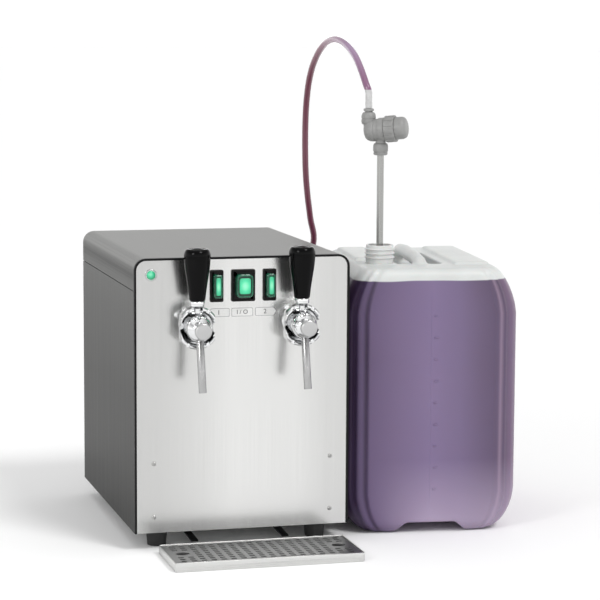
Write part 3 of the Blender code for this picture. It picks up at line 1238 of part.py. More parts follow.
def make_strainer():
    centre = strainer_centre()
    barrel = turned("strainer_body", (
        (0, NUT_START + NUT_LENGTH), (SPIGOT_RADIUS, NUT_START + NUT_LENGTH),
        (SPIGOT_RADIUS, NUT_START - GAP),
        (BARREL_FLANGE_RADIUS, NUT_START - GAP), (BARREL_FLANGE_RADIUS, NUT_START - BARREL_FLANGE),
        (BARREL_RADIUS, NUT_START - 2 * BARREL_FLANGE), (BARREL_RADIUS, BARREL_EDGE - BARREL_END),
        (BARREL_RADIUS - BARREL_EDGE / 3, BARREL_EDGE / 3 - BARREL_END),
        (BARREL_RADIUS - BARREL_EDGE, -BARREL_END), (0, -BARREL_END),
    ), centre, STRAINER_AXIS)
    port = hose_port()
    upper_foot = (port.x, port.y, STRAINER_HEIGHT)
    flange_bottom = UPPER_COLLAR_TOP + UPPER_NECK
    upper = turned("upper_port", (
        (0, flange_bottom + UPPER_FLANGE), (UPPER_FLANGE_RADIUS, flange_bottom + UPPER_FLANGE),
        (UPPER_FLANGE_RADIUS, flange_bottom), (LANCE_RADIUS, UPPER_COLLAR_TOP + UPPER_NECK),
        (LANCE_RADIUS, UPPER_COLLAR_TOP), (UPPER_COLLAR_RADIUS - UPPER_NECK * 2, UPPER_COLLAR_TOP),
        (UPPER_COLLAR_RADIUS, UPPER_COLLAR_TOP - UPPER_NECK * 2), (UPPER_COLLAR_RADIUS, UPPER_COLLAR_BOTTOM),
        (PORT_NECK_RADIUS, UPPER_COLLAR_BOTTOM - UPPER_NECK), (PORT_NECK_RADIUS, 0), (0, 0),
    ), upper_foot)
    bottom = LOWER_COLLAR_TOP + LOWER_COLLAR
    lower = turned("lower_port", (
        (0, 0), (PORT_NECK_RADIUS, 0), (PORT_NECK_RADIUS, -LOWER_COLLAR_TOP),
        (LOWER_COLLAR_RADIUS - LOWER_COLLAR_EDGE, -LOWER_COLLAR_TOP),
        (LOWER_COLLAR_RADIUS, -LOWER_COLLAR_TOP - LOWER_COLLAR_EDGE),
        (LOWER_COLLAR_RADIUS, LOWER_COLLAR_EDGE - bottom),
        (LOWER_COLLAR_RADIUS - LOWER_COLLAR_EDGE, -bottom), (0, -bottom),
    ), centre)
    lance_top = STRAINER_HEIGHT - bottom + LANCE_SEAT
    seat = rod("lance_seat", (centre.x, centre.y, STRAINER_HEIGHT - bottom - OVERRUN),
               (centre.x, centre.y, lance_top + GAP), LANCE_RADIUS + GAP, ROUND)
    as_part(cut(join(barrel, upper, lower), seat), GREY_PLASTIC)

    inner = SPIGOT_RADIUS + GAP
    nut = turned("strainer_nut", (
        (inner, NUT_START + NUT_LENGTH), (NUT_RADIUS - NUT_RIB, NUT_START + NUT_LENGTH),
        (NUT_RADIUS - NUT_RIB, NUT_START), (inner, NUT_START),
    ), centre, STRAINER_AXIS, FINE)
    ribs = []
    turn = STRAINER_AXIS.to_track_quat("Z", "Y").to_matrix().to_4x4()
    place = Matrix.Translation(centre) @ turn
    for index in range(NUT_RIBS):
        angle = 2 * math.pi * index / NUT_RIBS
        half = math.pi * NUT_RADIUS / NUT_RIBS / 2
        rib = block("nut_rib", (NUT_RADIUS - 2 * NUT_RIB, -half, NUT_START + NUT_RIB),
                    (NUT_RADIUS, half, NUT_START + NUT_LENGTH - NUT_RIB))
        rib.matrix_world = place @ Matrix.Rotation(angle, 4, "Z")
        ribs.append(rib)
    as_part(join(nut, group("nut_ribs", ribs)), GREY_PLASTIC)
    start = NUT_START + NUT_LENGTH + GAP
    end = start + CAP_LENGTH
    cap = turned("strainer_cap", (
        (0, end), (CAP_RADIUS - CAP_EDGE, end), (CAP_RADIUS - CAP_EDGE / 3, end - CAP_EDGE / 3),
        (CAP_RADIUS, end - CAP_EDGE), (CAP_RADIUS, start), (0, start),
    ), centre, STRAINER_AXIS, ROUND)
    as_part(cap, GREY_PLASTIC)


def make_hose():
    start = Vector((PUMP_ASIDE, BODY_DEPTH + INLET_REACH + GAP, PUMP_Z))
    end = hose_port() + Vector((0, 0, GAP))
    leads = [start, start + Vector((0, HOSE_LEAD, 0)), *HOSE_ROUTE, end + Vector((0, 0, HOSE_LEAD)), end]
    hose = tube("suction_hose", smooth_route(leads, HOSE_STEP), HOSE_RADIUS)
    as_part(hose, WINE_HOSE)


def place_origin():
    """Moves the whole model so that its origin lies under the middle of its box, hose left out."""
    bpy.context.view_layer.update()
    graph = bpy.context.evaluated_depsgraph_get()
    corners = []
    for piece in PARTS.objects:
        if piece.type == "MESH":
            seen = piece.evaluated_get(graph)
            corners += [seen.matrix_world @ vert.co for vert in seen.data.vertices]
    shift = [-(min(corner[axis] for corner in corners) + max(corner[axis] for corner in corners)) / 2
             for axis in (0, 1)]
    root = bpy.data.objects.new("table_point", None)
    PARTS.objects.link(root)
    for piece in list(PARTS.objects) + list(CUTTERS.objects):
        if piece is not root and piece.parent is None:
            piece.parent = root
    root.location = (*shift, 0)


make_front_panel()
make_edge_trim()
make_top_cover()
make_side_panels()
make_base_plate()
make_rear_panel()
make_feet()
make_tray_stop()
make_lamp()
for switch_name, switch_place in switch_places().items():
    make_switch(switch_name, *switch_place)
for tap_word, tap_side in SIDES:
    make_tap(tap_word, tap_side)
    make_tap_fasteners(tap_word, tap_side)
make_pumps()
make_heater()
make_wine_tubes()
make_control_board()
make_rear_fittings()
make_drip_tray()
make_canister()
make_lance()
make_strainer()
make_hose()
place_origin()
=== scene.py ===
import math

import bpy
from mathutils import Matrix, Vector


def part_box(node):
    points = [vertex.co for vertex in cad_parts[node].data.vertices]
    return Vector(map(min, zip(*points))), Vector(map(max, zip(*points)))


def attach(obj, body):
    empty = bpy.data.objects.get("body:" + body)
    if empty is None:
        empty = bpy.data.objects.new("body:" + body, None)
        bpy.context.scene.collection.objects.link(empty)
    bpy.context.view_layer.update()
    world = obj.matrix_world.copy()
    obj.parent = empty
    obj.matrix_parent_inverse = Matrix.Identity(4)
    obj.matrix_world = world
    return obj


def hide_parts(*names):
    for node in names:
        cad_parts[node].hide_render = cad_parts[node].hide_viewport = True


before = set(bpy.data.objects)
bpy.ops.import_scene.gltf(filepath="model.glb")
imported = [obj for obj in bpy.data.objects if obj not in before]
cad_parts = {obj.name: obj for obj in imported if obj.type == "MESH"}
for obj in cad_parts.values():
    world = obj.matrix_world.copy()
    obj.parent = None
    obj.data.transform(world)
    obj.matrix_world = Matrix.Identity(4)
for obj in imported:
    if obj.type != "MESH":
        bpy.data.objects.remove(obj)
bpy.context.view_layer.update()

# Places are given from the casing: X from its middle, Y back from its front panel, Z up from the table.
CASING_MIDDLE = -0.1072
PANEL_FACE = -0.11285
PANEL_HALF = 0.115
SIDE_REACH = (0.02, 0.3)
COVER_REACH = (0.25, 0.307)
TAP_ASIDE = 0.0554
TAP_HEIGHT = 0.2377
TO_RIGHT_TAP = 2 * TAP_ASIDE


def at(x, y, z):
    return Vector((CASING_MIDDLE + x, PANEL_FACE + y, z))


# Camera

def set_camera():
    """The photograph's place: a long lens, low, a little to the left of the dispenser."""
    bpy.ops.object.select_all(action="DESELECT")
    bpy.ops.object.camera_add(location=(0, 0, 0))
    camera = bpy.context.object
    camera.name = "camera"
    place = at(-0.56785, -2.3093, 0.564)
    turn, dip, tilt = math.radians(15.244), math.radians(7.249), math.radians(0.302)
    camera.matrix_world = (Matrix.Translation(place) @ Matrix.Rotation(-turn, 4, "Z")
                           @ Matrix.Rotation(math.pi / 2 - dip, 4, "X") @ Matrix.Rotation(tilt, 4, "Z"))
    camera.data.sensor_width = 36
    camera.data.lens = 138.186
    camera.data.clip_end = 60
    bpy.context.scene.camera = camera


set_camera()


# Finishes

def finish(name, colour, roughness, metallic=0.0, **sockets):
    made = bpy.data.materials.new(name)
    made.use_nodes = True
    shader = made.node_tree.nodes["Principled BSDF"]
    shader.inputs["Base Color"].default_value = (*colour, 1.0)
    shader.inputs["Roughness"].default_value = roughness
    shader.inputs["Metallic"].default_value = metallic
    for socket, value in sockets.items():
        shader.inputs[socket.replace("_", " ")].default_value = value
    return made


def add_node(material, kind, **settings):
    node = material.node_tree.nodes.new(kind)
    for key, value in settings.items():
        setattr(node, key, value)
    return node


def wire(material, start, end):
    material.node_tree.links.new(start, end)


def shader_of(material):
    return material.node_tree.nodes["Principled BSDF"]


def object_place(material, scale=(1, 1, 1), move=(0, 0, 0), turn=0.0):
    """Object coordinates, moved and turned so that a pattern sits on its piece."""
    source = add_node(material, "ShaderNodeTexCoord")
    mapping = add_node(material, "ShaderNodeMapping", vector_type="TEXTURE")
    mapping.inputs["Location"].default_value = move
    mapping.inputs["Rotation"].default_value = (0, 0, turn)
    mapping.inputs["Scale"].default_value = [1 / size for size in scale]
    wire(material, source.outputs["Object"], mapping.inputs["Vector"])
    return mapping.outputs["Vector"]


def noise(material, scale, detail=3.0, roughness=0.5):
    """Noise with its own fineness along X, Y and Z, in waves a metre."""
    texture = add_node(material, "ShaderNodeTexNoise")
    texture.inputs["Scale"].default_value = 1.0
    texture.inputs["Detail"].default_value = detail
    texture.inputs["Roughness"].default_value = roughness
    wire(material, object_place(material, scale), texture.inputs["Vector"])
    return texture.outputs["Fac"]


def spread(material, value, low, high, from_low=0.3, from_high=0.7):
    """A pattern's values stretched to lie between two numbers."""
    ranged = add_node(material, "ShaderNodeMapRange")
    ranged.inputs["From Min"].default_value = from_low
    ranged.inputs["From Max"].default_value = from_high
    ranged.inputs["To Min"].default_value = low
    ranged.inputs["To Max"].default_value = high
    wire(material, value, ranged.inputs["Value"])
    return ranged.outputs["Result"]


def ramp(material, value, *stops):
    """Colours along a value: (place, colour) pairs."""
    coloured = add_node(material, "ShaderNodeValToRGB")
    band = coloured.color_ramp
    band.elements[0].position, band.elements[0].color = stops[0][0], (*stops[0][1], 1)
    band.elements[1].position, band.elements[1].color = stops[-1][0], (*stops[-1][1], 1)
    for place, colour in stops[1:-1]:
        band.elements.new(place).color = (*colour, 1)
    wire(material, value, coloured.inputs["Fac"])
    return coloured.outputs["Color"]


def blend_colours(material, share, first, second):
    mix = add_node(material, "ShaderNodeMix", data_type="RGBA")
    for socket, colour in ((mix.inputs["A"], first), (mix.inputs["B"], second)):
        if isinstance(colour, tuple):
            socket.default_value = (*colour, 1)
        else:
            wire(material, colour, socket)
    wire(material, share, mix.inputs["Factor"])
    return mix.outputs["Result"]


def roughen(material, scale, low, high, detail=3.0):
    wire(material, spread(material, noise(material, scale, detail), low, high), shader_of(material).inputs["Roughness"])


def dent(material, scale, strength, depth, detail=3.0):
    """Fine relief on the surface, from noise."""
    bump = add_node(material, "ShaderNodeBump")
    bump.inputs["Strength"].default_value = strength
    bump.inputs["Distance"].default_value = depth
    wire(material, noise(material, scale, detail), bump.inputs["Height"])
    wire(material, bump.outputs["Normal"], shader_of(material).inputs["Normal"])


def tint(material, scale, first, second, detail=2.0):
    share = spread(material, noise(material, scale, detail), 0, 1)
    wire(material, blend_colours(material, share, first, second), shader_of(material).inputs["Base Color"])


def brushed_steel(name, light, dark, roughness, along):
    """Sheet steel with brush lines along X, Y or Z, and slow clouds of wear over them."""
    made = finish(name, light, roughness, 1.0)
    lines = [1400, 1400, 1400]
    lines[along] = 6
    tint(made, lines, dark, light, 4.0)
    roughen(made, lines, roughness - 0.05, roughness + 0.07)
    dent(made, lines, 0.12, 0.00006)
    return made


def shade(material, axis, low, high, *stops):
    """Painted reflection and shade: broad bands of tone multiplied into a sheet's colour between two places along X, Y
    or Z.
    """
    split = add_node(material, "ShaderNodeSeparateXYZ")
    wire(material, object_place(material), split.inputs["Vector"])
    painted_light_bands = ramp(material, spread(material, split.outputs[axis], 0, 1, low, high),
                 *[(place, (tone,) * 3) for place, tone in stops])
    mix = add_node(material, "ShaderNodeMix", data_type="RGBA", blend_type="MULTIPLY")
    mix.inputs["Factor"].default_value = 1
    colour = shader_of(material).inputs["Base Color"]
    wire(material, colour.links[0].from_socket, mix.inputs["A"])
    wire(material, painted_light_bands, mix.inputs["B"])
    wire(material, mix.outputs["Result"], colour)


PANEL_STEEL = brushed_steel("upright_brushed_steel", (0.76, 0.76, 0.75), (0.7, 0.7, 0.69), 0.19, 2)
COVER_STEEL = brushed_steel("cover_brushed_steel", (0.52, 0.52, 0.51), (0.45, 0.45, 0.44), 0.36, 1)
# The side and rear sheets are the panel's brushed steel made much darker: painted shade.
SHADED_SIDE_STEEL = brushed_steel("side_brushed_steel", (0.28, 0.28, 0.275), (0.23, 0.23, 0.225), 0.36, 2)
# Painted reflection on the front panel: darkest at its left edge, brightest across the middle.
shade(PANEL_STEEL, "X", CASING_MIDDLE - PANEL_HALF, CASING_MIDDLE + PANEL_HALF,
      (0.0, 0.76), (0.12, 0.78), (0.3, 0.88), (0.45, 1.0), (0.75, 0.98), (0.9, 0.86), (1.0, 0.84))
# Painted shade and light on the side and rear sheets: darkest near the floor, lighter towards the top.
shade(SHADED_SIDE_STEEL, "Z", *SIDE_REACH, (0.0, 0.43), (0.5, 0.49), (0.8, 0.68), (1.0, 0.86))
# Painted shade and highlight on the cover: a dark band on its rounded edge, brightest on top.
shade(COVER_STEEL, "Z", *COVER_REACH, (0.0, 0.5), (0.52, 0.43), (0.68, 0.28), (0.82, 0.5), (0.94, 0.85), (1.0, 1.0))
# A grey specular tint dims the reflections of the cover and side sheets: painted shade.
for sheet in (COVER_STEEL, SHADED_SIDE_STEEL):
    shader_of(sheet).inputs["Specular Tint"].default_value = (0.55, 0.55, 0.55, 1)
TRAY_STEEL = brushed_steel("tray_steel", (0.66, 0.66, 0.65), (0.56, 0.56, 0.55), 0.3, 0)
GRID_STEEL = brushed_steel("grid_steel", (0.4, 0.4, 0.4), (0.33, 0.33, 0.33), 0.36, 0)
SPOUT_STEEL = brushed_steel("drawn_steel_tube", (0.44, 0.44, 0.44), (0.37, 0.37, 0.37), 0.22, 2)
LANCE_STEEL = brushed_steel("lance_steel", (0.42, 0.42, 0.41), (0.34, 0.34, 0.33), 0.24, 2)

CHROME = finish("polished_chrome", (0.74, 0.745, 0.75), 0.07, 1.0)
roughen(CHROME, (300, 300, 300), 0.04, 0.09)
SATIN_CHROME = finish("satin_nose", (0.5, 0.5, 0.5), 0.3, 1.0)
roughen(SATIN_CHROME, (2500, 2500, 2500), 0.26, 0.34)

BLACK_EDGE = finish("black_edge_trim", (0.006, 0.006, 0.0065), 0.35, Specular_IOR_Level=0.12)
roughen(BLACK_EDGE, (900, 900, 900), 0.3, 0.45)
dent(BLACK_EDGE, (1500, 1500, 1500), 0.15, 0.0001)
BLACK_MOULDING = finish("black_moulding", (0.008, 0.007, 0.007), 0.38, Specular_IOR_Level=0.18)
roughen(BLACK_MOULDING, (1500, 1500, 1500), 0.32, 0.48)
dent(BLACK_MOULDING, (2500, 2500, 2500), 0.2, 0.0001)
BLACK_GLOSS = finish("handle_black", (0.002, 0.002, 0.0022), 0.1, Specular_IOR_Level=0.09)
roughen(BLACK_GLOSS, (250, 250, 250), 0.08, 0.13)
RUBBER = finish("foot_rubber", (0.018, 0.018, 0.018), 0.7)
roughen(RUBBER, (1800, 1800, 1800), 0.6, 0.8)
dent(RUBBER, (2600, 2600, 2600), 0.3, 0.0002)

BOOT_GREEN = finish("boot_silicone", (0.006, 0.1, 0.05), 0.2, Coat_Weight=0.3, Coat_Roughness=0.1)
tint(BOOT_GREEN, (500, 500, 500), (0.004, 0.07, 0.035), (0.01, 0.13, 0.07))
# The boot's groove takes a darker green than the boot: painted shade.
GROOVE_PAINTED_SHADE = finish("boot_groove", (0.003, 0.03, 0.018), 0.35)
roughen(GROOVE_PAINTED_SHADE, (900, 900, 900), 0.3, 0.45)

GREY_MOULDING = finish("grey_moulding", (0.245, 0.245, 0.24), 0.42)
tint(GREY_MOULDING, (120, 120, 120), (0.225, 0.225, 0.22), (0.262, 0.262, 0.258))
roughen(GREY_MOULDING, (1200, 1200, 1200), 0.36, 0.5)
dent(GREY_MOULDING, (1800, 1800, 1800), 0.15, 0.0001)

ZINC = finish("zinc_sheet", (0.56, 0.57, 0.56), 0.42, 1.0)
tint(ZINC, (60, 60, 60), (0.5, 0.51, 0.5), (0.62, 0.63, 0.62))
roughen(ZINC, (90, 90, 90), 0.36, 0.5)
CASTING = finish("cast_block", (0.58, 0.59, 0.6), 0.5, 1.0)
roughen(CASTING, (700, 700, 700), 0.42, 0.62)
dent(CASTING, (900, 900, 900), 0.4, 0.0003)
TURNED_BRASS = finish("turned_brass", (0.74, 0.56, 0.28), 0.26, 1.0)
roughen(TURNED_BRASS, (400, 2500, 400), 0.2, 0.34)
MILKY_TUBE = finish("milky_tube", (0.74, 0.73, 0.71), 0.35)
tint(MILKY_TUBE, (90, 90, 90), (0.7, 0.69, 0.66), (0.78, 0.77, 0.75))
BOARD = finish("board_green", (0.02, 0.15, 0.08), 0.42)
tint(BOARD, (600, 600, 600), (0.015, 0.11, 0.06), (0.03, 0.2, 0.11), 0.0)
PIN_STEEL = finish("nickel_pin", (0.42, 0.42, 0.41), 0.3, 1.0)
roughen(PIN_STEEL, (900, 900, 900), 0.2, 0.34)
LABEL_WHITE = finish("label_field", (0.72, 0.72, 0.71), 0.45)
tint(LABEL_WHITE, (700, 700, 700), (0.69, 0.69, 0.68), (0.75, 0.75, 0.74))
LABEL_GREY = finish("label_rule", (0.2, 0.2, 0.21), 0.5)
tint(LABEL_GREY, (900, 900, 900), (0.17, 0.17, 0.18), (0.24, 0.24, 0.25))
LABEL_BLACK = finish("label_ink", (0.02, 0.02, 0.022), 0.5)
tint(LABEL_BLACK, (900, 900, 900), (0.012, 0.012, 0.014), (0.03, 0.03, 0.032))


def lit_green(name, centre, reach, strength):
    """A lit green lens, palest where its lamp sits behind it."""
    made = finish(name, (0.05, 0.62, 0.34), 0.18, Coat_Weight=0.6, Coat_Roughness=0.08)
    ball = add_node(made, "ShaderNodeTexGradient", gradient_type="SPHERICAL")
    wire(made, object_place(made, [1 / size for size in reach], centre), ball.inputs["Vector"])
    glow = ramp(made, ball.outputs["Fac"], (0.0, (0.01, 0.3, 0.13)), (0.45, (0.04, 0.5, 0.26)), (1.0, (0.3, 0.75, 0.5)))
    wire(made, glow, shader_of(made).inputs["Base Color"])
    wire(made, glow, shader_of(made).inputs["Emission Color"])
    shader_of(made).inputs["Emission Strength"].default_value = strength
    return made


# Canister and hose finishes

CANISTER_FRONT = at(0.21225, 0.010, 0)
CANISTER_TURN = math.radians(-6)
WINE_LEVEL = 0.2742
CANISTER_HALF = 0.0965
CANISTER_DEPTH = 0.23
CANISTER_TOP = 0.2875


def oval(share, power):
    """How far in an oval corner has drawn, 0 to 1, at a share of its height."""
    return 1 - (1 - share ** power) ** (1 / power)


def half_width(z):
    """The canister's half width at a height: oval feet and long sloping shoulders."""
    foot, shoulder = max(0.0, 1 - z / 0.046), max(0.0, 1 - (CANISTER_TOP - z) / 0.05)
    return CANISTER_HALF - 0.032 * oval(foot, 1.8) - 0.026 * oval(shoulder, 1.5)


def end_inset(z):
    """How far the front and back faces draw in at a height."""
    foot, shoulder = max(0.0, 1 - z / 0.014), max(0.0, 1 - (CANISTER_TOP - z) / 0.012)
    return 0.012 * oval(foot, 2) + 0.01 * oval(shoulder, 2)


OUTLINE_SHARES = [(share, half_width(share * CANISTER_TOP))
                  for share in (0, 0.01, 0.03, 0.06, 0.1, 0.15, 0.83, 0.87, 0.9, 0.93, 0.955, 0.98, 1)]
# The wine's violet across the canister's width with painted shade, darker towards the corners and in the grooves, a
# painted highlight beside the inner right groove, palest in the middle.
WINE_AND_PAINTED_SHADE_BANDS = (
    (0.0, (0.06, 0.03, 0.07)), (0.025, (0.02, 0.008, 0.03)), (0.055, (0.026, 0.011, 0.038)),
    (0.075, (0.07, 0.045, 0.1)), (0.107, (0.085, 0.055, 0.12)), (0.125, (0.032, 0.016, 0.048)),
    (0.145, (0.11, 0.075, 0.15)), (0.3, (0.145, 0.103, 0.19)), (0.5, (0.18, 0.132, 0.24)),
    (0.66, (0.15, 0.11, 0.2)), (0.78, (0.112, 0.079, 0.14)), (0.86, (0.088, 0.06, 0.108)),
    (0.88, (0.1, 0.069, 0.12)), (0.892, (0.24, 0.172, 0.24)), (0.91, (0.082, 0.056, 0.096)),
    (0.955, (0.15, 0.1, 0.158)),
    (1.0, (0.16, 0.1, 0.16)))


def canister_material():
    """Milky polyethylene: white above the wine and violet below; the violet carries upright bands of painted shade and
    a painted highlight, and is palest low in the middle.
    """
    made = finish("wine_behind_polyethylene", (0.22, 0.16, 0.29), 0.36, Subsurface_Weight=0.06, Subsurface_Scale=0.004,
                  Specular_IOR_Level=0.35)
    split = add_node(made, "ShaderNodeSeparateXYZ")
    wire(made, object_place(made, (1, 1, 1), CANISTER_FRONT, CANISTER_TURN), split.inputs["Vector"])
    height = spread(made, split.outputs["Z"], 0, 1, 0, CANISTER_TOP)
    width = ramp(made, height, *[(share, (half / CANISTER_HALF,) * 3) for share, half in OUTLINE_SHARES])
    straightened = add_node(made, "ShaderNodeMath", operation="DIVIDE")
    wire(made, split.outputs["X"], straightened.inputs[0])
    wire(made, width, straightened.inputs[1])
    across = spread(made, straightened.outputs["Value"], 0, 1, -CANISTER_HALF, CANISTER_HALF)
    # Upright bands of painted shade at the corners and grooves, with a painted highlight by a groove.
    wine = ramp(made, across, *WINE_AND_PAINTED_SHADE_BANDS)
    low = spread(made, split.outputs["Z"], 0.6, 0, 0.01, 0.08)
    middle = spread(made, straightened.outputs["Value"], 0, 1, -0.07, 0.0)
    both = add_node(made, "ShaderNodeMath", operation="MULTIPLY")
    wire(made, low, both.inputs[0])
    wire(made, middle, both.inputs[1])
    wine = blend_colours(made, both.outputs["Value"], wine, (0.5, 0.41, 0.53))
    cloud = spread(made, noise(made, (9, 9, 9), 2.0), 0, 0.22)
    wine = blend_colours(made, cloud, wine, (0.14, 0.1, 0.21))
    white = ramp(made, noise(made, (20, 20, 20), 2.0), (0.35, (0.54, 0.555, 0.545)), (0.65, (0.6, 0.615, 0.605)))
    wave = spread(made, noise(made, (14, 14, 1), 1.0), WINE_LEVEL - 0.0012, WINE_LEVEL + 0.0012)
    above = add_node(made, "ShaderNodeMath", operation="SUBTRACT")
    wire(made, split.outputs["Z"], above.inputs[0])
    wire(made, wave, above.inputs[1])
    edge = spread(made, above.outputs["Value"], 0, 1, -0.0006, 0.0006)
    wire(made, blend_colours(made, edge, wine, white), shader_of(made).inputs["Base Color"])
    roughen(made, (260, 260, 260), 0.32, 0.42)
    dent(made, (160, 160, 160), 0.08, 0.0006)
    return made


HOSE_WINE_END = (0.4758, 0.4764)
HOSE_EMPTY_SIDE = (PANEL_FACE + 0.12, PANEL_FACE + 0.13)


def hose_material():
    """Clear hose full of wine, empty in its last stretch above the strainer."""
    made = finish("wine_in_hose", (0.2, 0.05, 0.09), 0.2, Coat_Weight=0.5, Coat_Roughness=0.1)
    split = add_node(made, "ShaderNodeSeparateXYZ")
    wire(made, object_place(made), split.inputs["Vector"])
    # The wine's tone along Y is painted light and shade: palest over the canister, darkest at the back.
    depth = spread(made, split.outputs["Y"], 0, 1, PANEL_FACE + 0.08, PANEL_FACE + 0.3)
    wine = ramp(made, depth, (0.0, (0.2, 0.09, 0.17)), (0.25, (0.3, 0.19, 0.32)), (0.5, (0.24, 0.12, 0.2)),
                (0.8, (0.17, 0.05, 0.085)), (1.0, (0.14, 0.035, 0.06)))
    clear = ramp(made, noise(made, (200, 200, 200)), (0.3, (0.42, 0.42, 0.42)), (0.7, (0.52, 0.52, 0.52)))
    empty = spread(made, split.outputs["Z"], 1, 0, *HOSE_WINE_END)
    near = spread(made, split.outputs["Y"], 1, 0, *HOSE_EMPTY_SIDE)
    both = add_node(made, "ShaderNodeMath", operation="MULTIPLY")
    wire(made, empty, both.inputs[0])
    wire(made, near, both.inputs[1])
    wire(made, blend_colours(made, both.outputs["Value"], wine, clear), shader_of(made).inputs["Base Color"])
    roughen(made, (300, 300, 300), 0.14, 0.24)
    return made


CANISTER_SHELL = canister_material()
HOSE_WALL = hose_material()
NECK_WHITE = finish("bare_polyethylene", (0.58, 0.59, 0.58), 0.34, Subsurface_Weight=0.1, Subsurface_Scale=0.003)
tint(NECK_WHITE, (40, 40, 40), (0.56, 0.57, 0.56), (0.62, 0.63, 0.62))
roughen(NECK_WHITE, (400, 400, 400), 0.3, 0.4)


# Making and fitting

def let_go():
    bpy.ops.object.select_all(action="DESELECT")


def take(piece):
    let_go()
    piece.select_set(True)
    bpy.context.view_layer.objects.active = piece
    return piece


def fix_place(piece):
    """The piece's place goes into its mesh, and its object stands at the origin."""
    take(piece)
    bpy.ops.object.transform_apply(location=True, rotation=True, scale=True)
    return piece


def named(name):
    piece = bpy.context.object
    piece.name = piece.data.name = name
    return piece


def smooth(piece, degrees=35):
    take(piece)
    bpy.ops.object.shade_smooth_by_angle(angle=math.radians(degrees))
    return piece


def turned(name, rings, foot=(0, 0, 0), axis=(0, 0, 1), sides=48):
    """Pulled up ring by ring as on a lathe, from (radius, height) pairs along the axis."""
    let_go()
    radius, height = rings[0]
    bpy.ops.mesh.primitive_circle_add(vertices=sides, radius=radius, fill_type="NGON", location=(0, 0, height))
    piece = fix_place(named(name))
    bpy.ops.object.mode_set(mode="EDIT")
    bpy.ops.mesh.select_all(action="SELECT")
    for wider, higher in rings[1:]:
        bpy.ops.mesh.extrude_region_move(TRANSFORM_OT_translate={"value": (0, 0, higher - height)})
        share = wider / radius
        bpy.ops.transform.resize(value=(share, share, 1), center_override=(0, 0, higher))
        radius, height = wider, higher
    bpy.ops.mesh.select_all(action="SELECT")
    bpy.ops.mesh.normals_make_consistent(inside=False)
    bpy.ops.object.mode_set(mode="OBJECT")
    piece.matrix_world = Matrix.Translation(foot) @ Vector(axis).to_track_quat("Z", "Y").to_matrix().to_4x4()
    return smooth(fix_place(piece))


def box_piece(name, low, high, edge=0.0, segments=3):
    """A block between two corners, its edges bevelled."""
    let_go()
    low, high = Vector(low), Vector(high)
    bpy.ops.mesh.primitive_cube_add(size=1, location=(low + high) / 2)
    piece = named(name)
    piece.scale = high - low
    fix_place(piece)
    if edge:
        bpy.ops.object.mode_set(mode="EDIT")
        bpy.ops.mesh.select_all(action="SELECT")
        bpy.ops.mesh.bevel(offset=edge, segments=segments, affect="EDGES")
        bpy.ops.object.mode_set(mode="OBJECT")
    return piece


def pick_edges(piece, wanted):
    """Selects only the edges whose two ends the test accepts."""
    take(piece)
    bpy.ops.object.mode_set(mode="EDIT")
    bpy.ops.mesh.select_mode(type="EDGE")
    bpy.ops.mesh.select_all(action="DESELECT")
    bpy.ops.object.mode_set(mode="OBJECT")
    points = piece.data.vertices
    for edge in piece.data.edges:
        edge.select = wanted(points[edge.vertices[0]].co, points[edge.vertices[1]].co)
    bpy.ops.object.mode_set(mode="EDIT")


def pick_faces(piece, wanted):
    """Selects only the faces that the test accepts by middle and normal."""
    take(piece)
    bpy.ops.object.mode_set(mode="EDIT")
    bpy.ops.mesh.select_mode(type="FACE")
    bpy.ops.mesh.select_all(action="DESELECT")
    bpy.ops.object.mode_set(mode="OBJECT")
    for face in piece.data.polygons:
        face.select = wanted(face.center, face.normal)
    bpy.ops.object.mode_set(mode="EDIT")


def bevel_edges(piece, wanted, offset, segments):
    pick_edges(piece, wanted)
    bpy.ops.mesh.bevel(offset=offset, segments=segments, affect="EDGES")
    bpy.ops.object.mode_set(mode="OBJECT")


def combine(piece, operation, *tools):
    """Cuts or joins other pieces into this one, and takes them away."""
    for tool in tools:
        take(piece)
        step = piece.modifiers.new("carve", "BOOLEAN")
        step.operation = operation
        step.object = tool
        bpy.ops.object.modifier_apply(modifier=step.name)
        bpy.data.objects.remove(tool)
    return piece


def copied(piece, name, move):
    take(piece)
    bpy.ops.object.duplicate()
    twin = named(name)
    twin.location = move
    return fix_place(twin)


def dress(piece, material, body, slot, *nodes):
    piece.data.materials.clear()
    piece.data.materials.append(material)
    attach(piece, body)
    if nodes:
        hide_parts(*nodes)
    return piece


def refinish(material, *nodes):
    """A CAD node keeps its shape and takes a finer material."""
    for node in nodes:
        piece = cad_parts[node]
        for holder in piece.material_slots:
            holder.material = material


# The wine hose comes first, after the camera

HOSE_RADIUS = 0.00375
HOSE_LEAD = 0.016
HOSE_START = (0.075, 0.3245, 0.0638)
HOSE_END = (0.1572, 0.0733, 0.4563)
HOSE_ROUTE = (
    (0.0840, 0.3760, 0.0700), (0.1020, 0.4040, 0.0940), (0.1250, 0.4100, 0.1320), (0.1460, 0.3970, 0.1780),
    (0.1600, 0.3740, 0.2300), (0.1741, 0.3540, 0.2806), (0.1675, 0.3440, 0.3130), (0.1618, 0.3380, 0.3446),
    (0.1584, 0.3340, 0.3758), (0.1562, 0.3280, 0.4171), (0.1547, 0.3180, 0.4521), (0.1537, 0.3000, 0.4831),
    (0.1536, 0.2740, 0.5057), (0.1542, 0.2400, 0.5221), (0.1550, 0.2000, 0.5282), (0.1554, 0.1580, 0.5235),
    (0.1551, 0.1210, 0.5119), (0.1544, 0.0935, 0.4968), (0.1550, 0.0775, 0.4824),
)


def smooth_route(points, parts=6):
    """A Catmull-Rom curve through the route, between its two straight leads."""
    points = [at(*point) for point in points]
    fine = []
    for before, start, end, after in zip(points, points[1:], points[2:], points[3:]):
        for part in range(parts):
            share = part / parts
            fine.append((2 * start + (end - before) * share
                         + (2 * before - 5 * start + 4 * end - after) * share ** 2
                         + (3 * start - before - 3 * end + after) * share ** 3) / 2)
    return [points[0], *fine, points[-2], points[-1]]


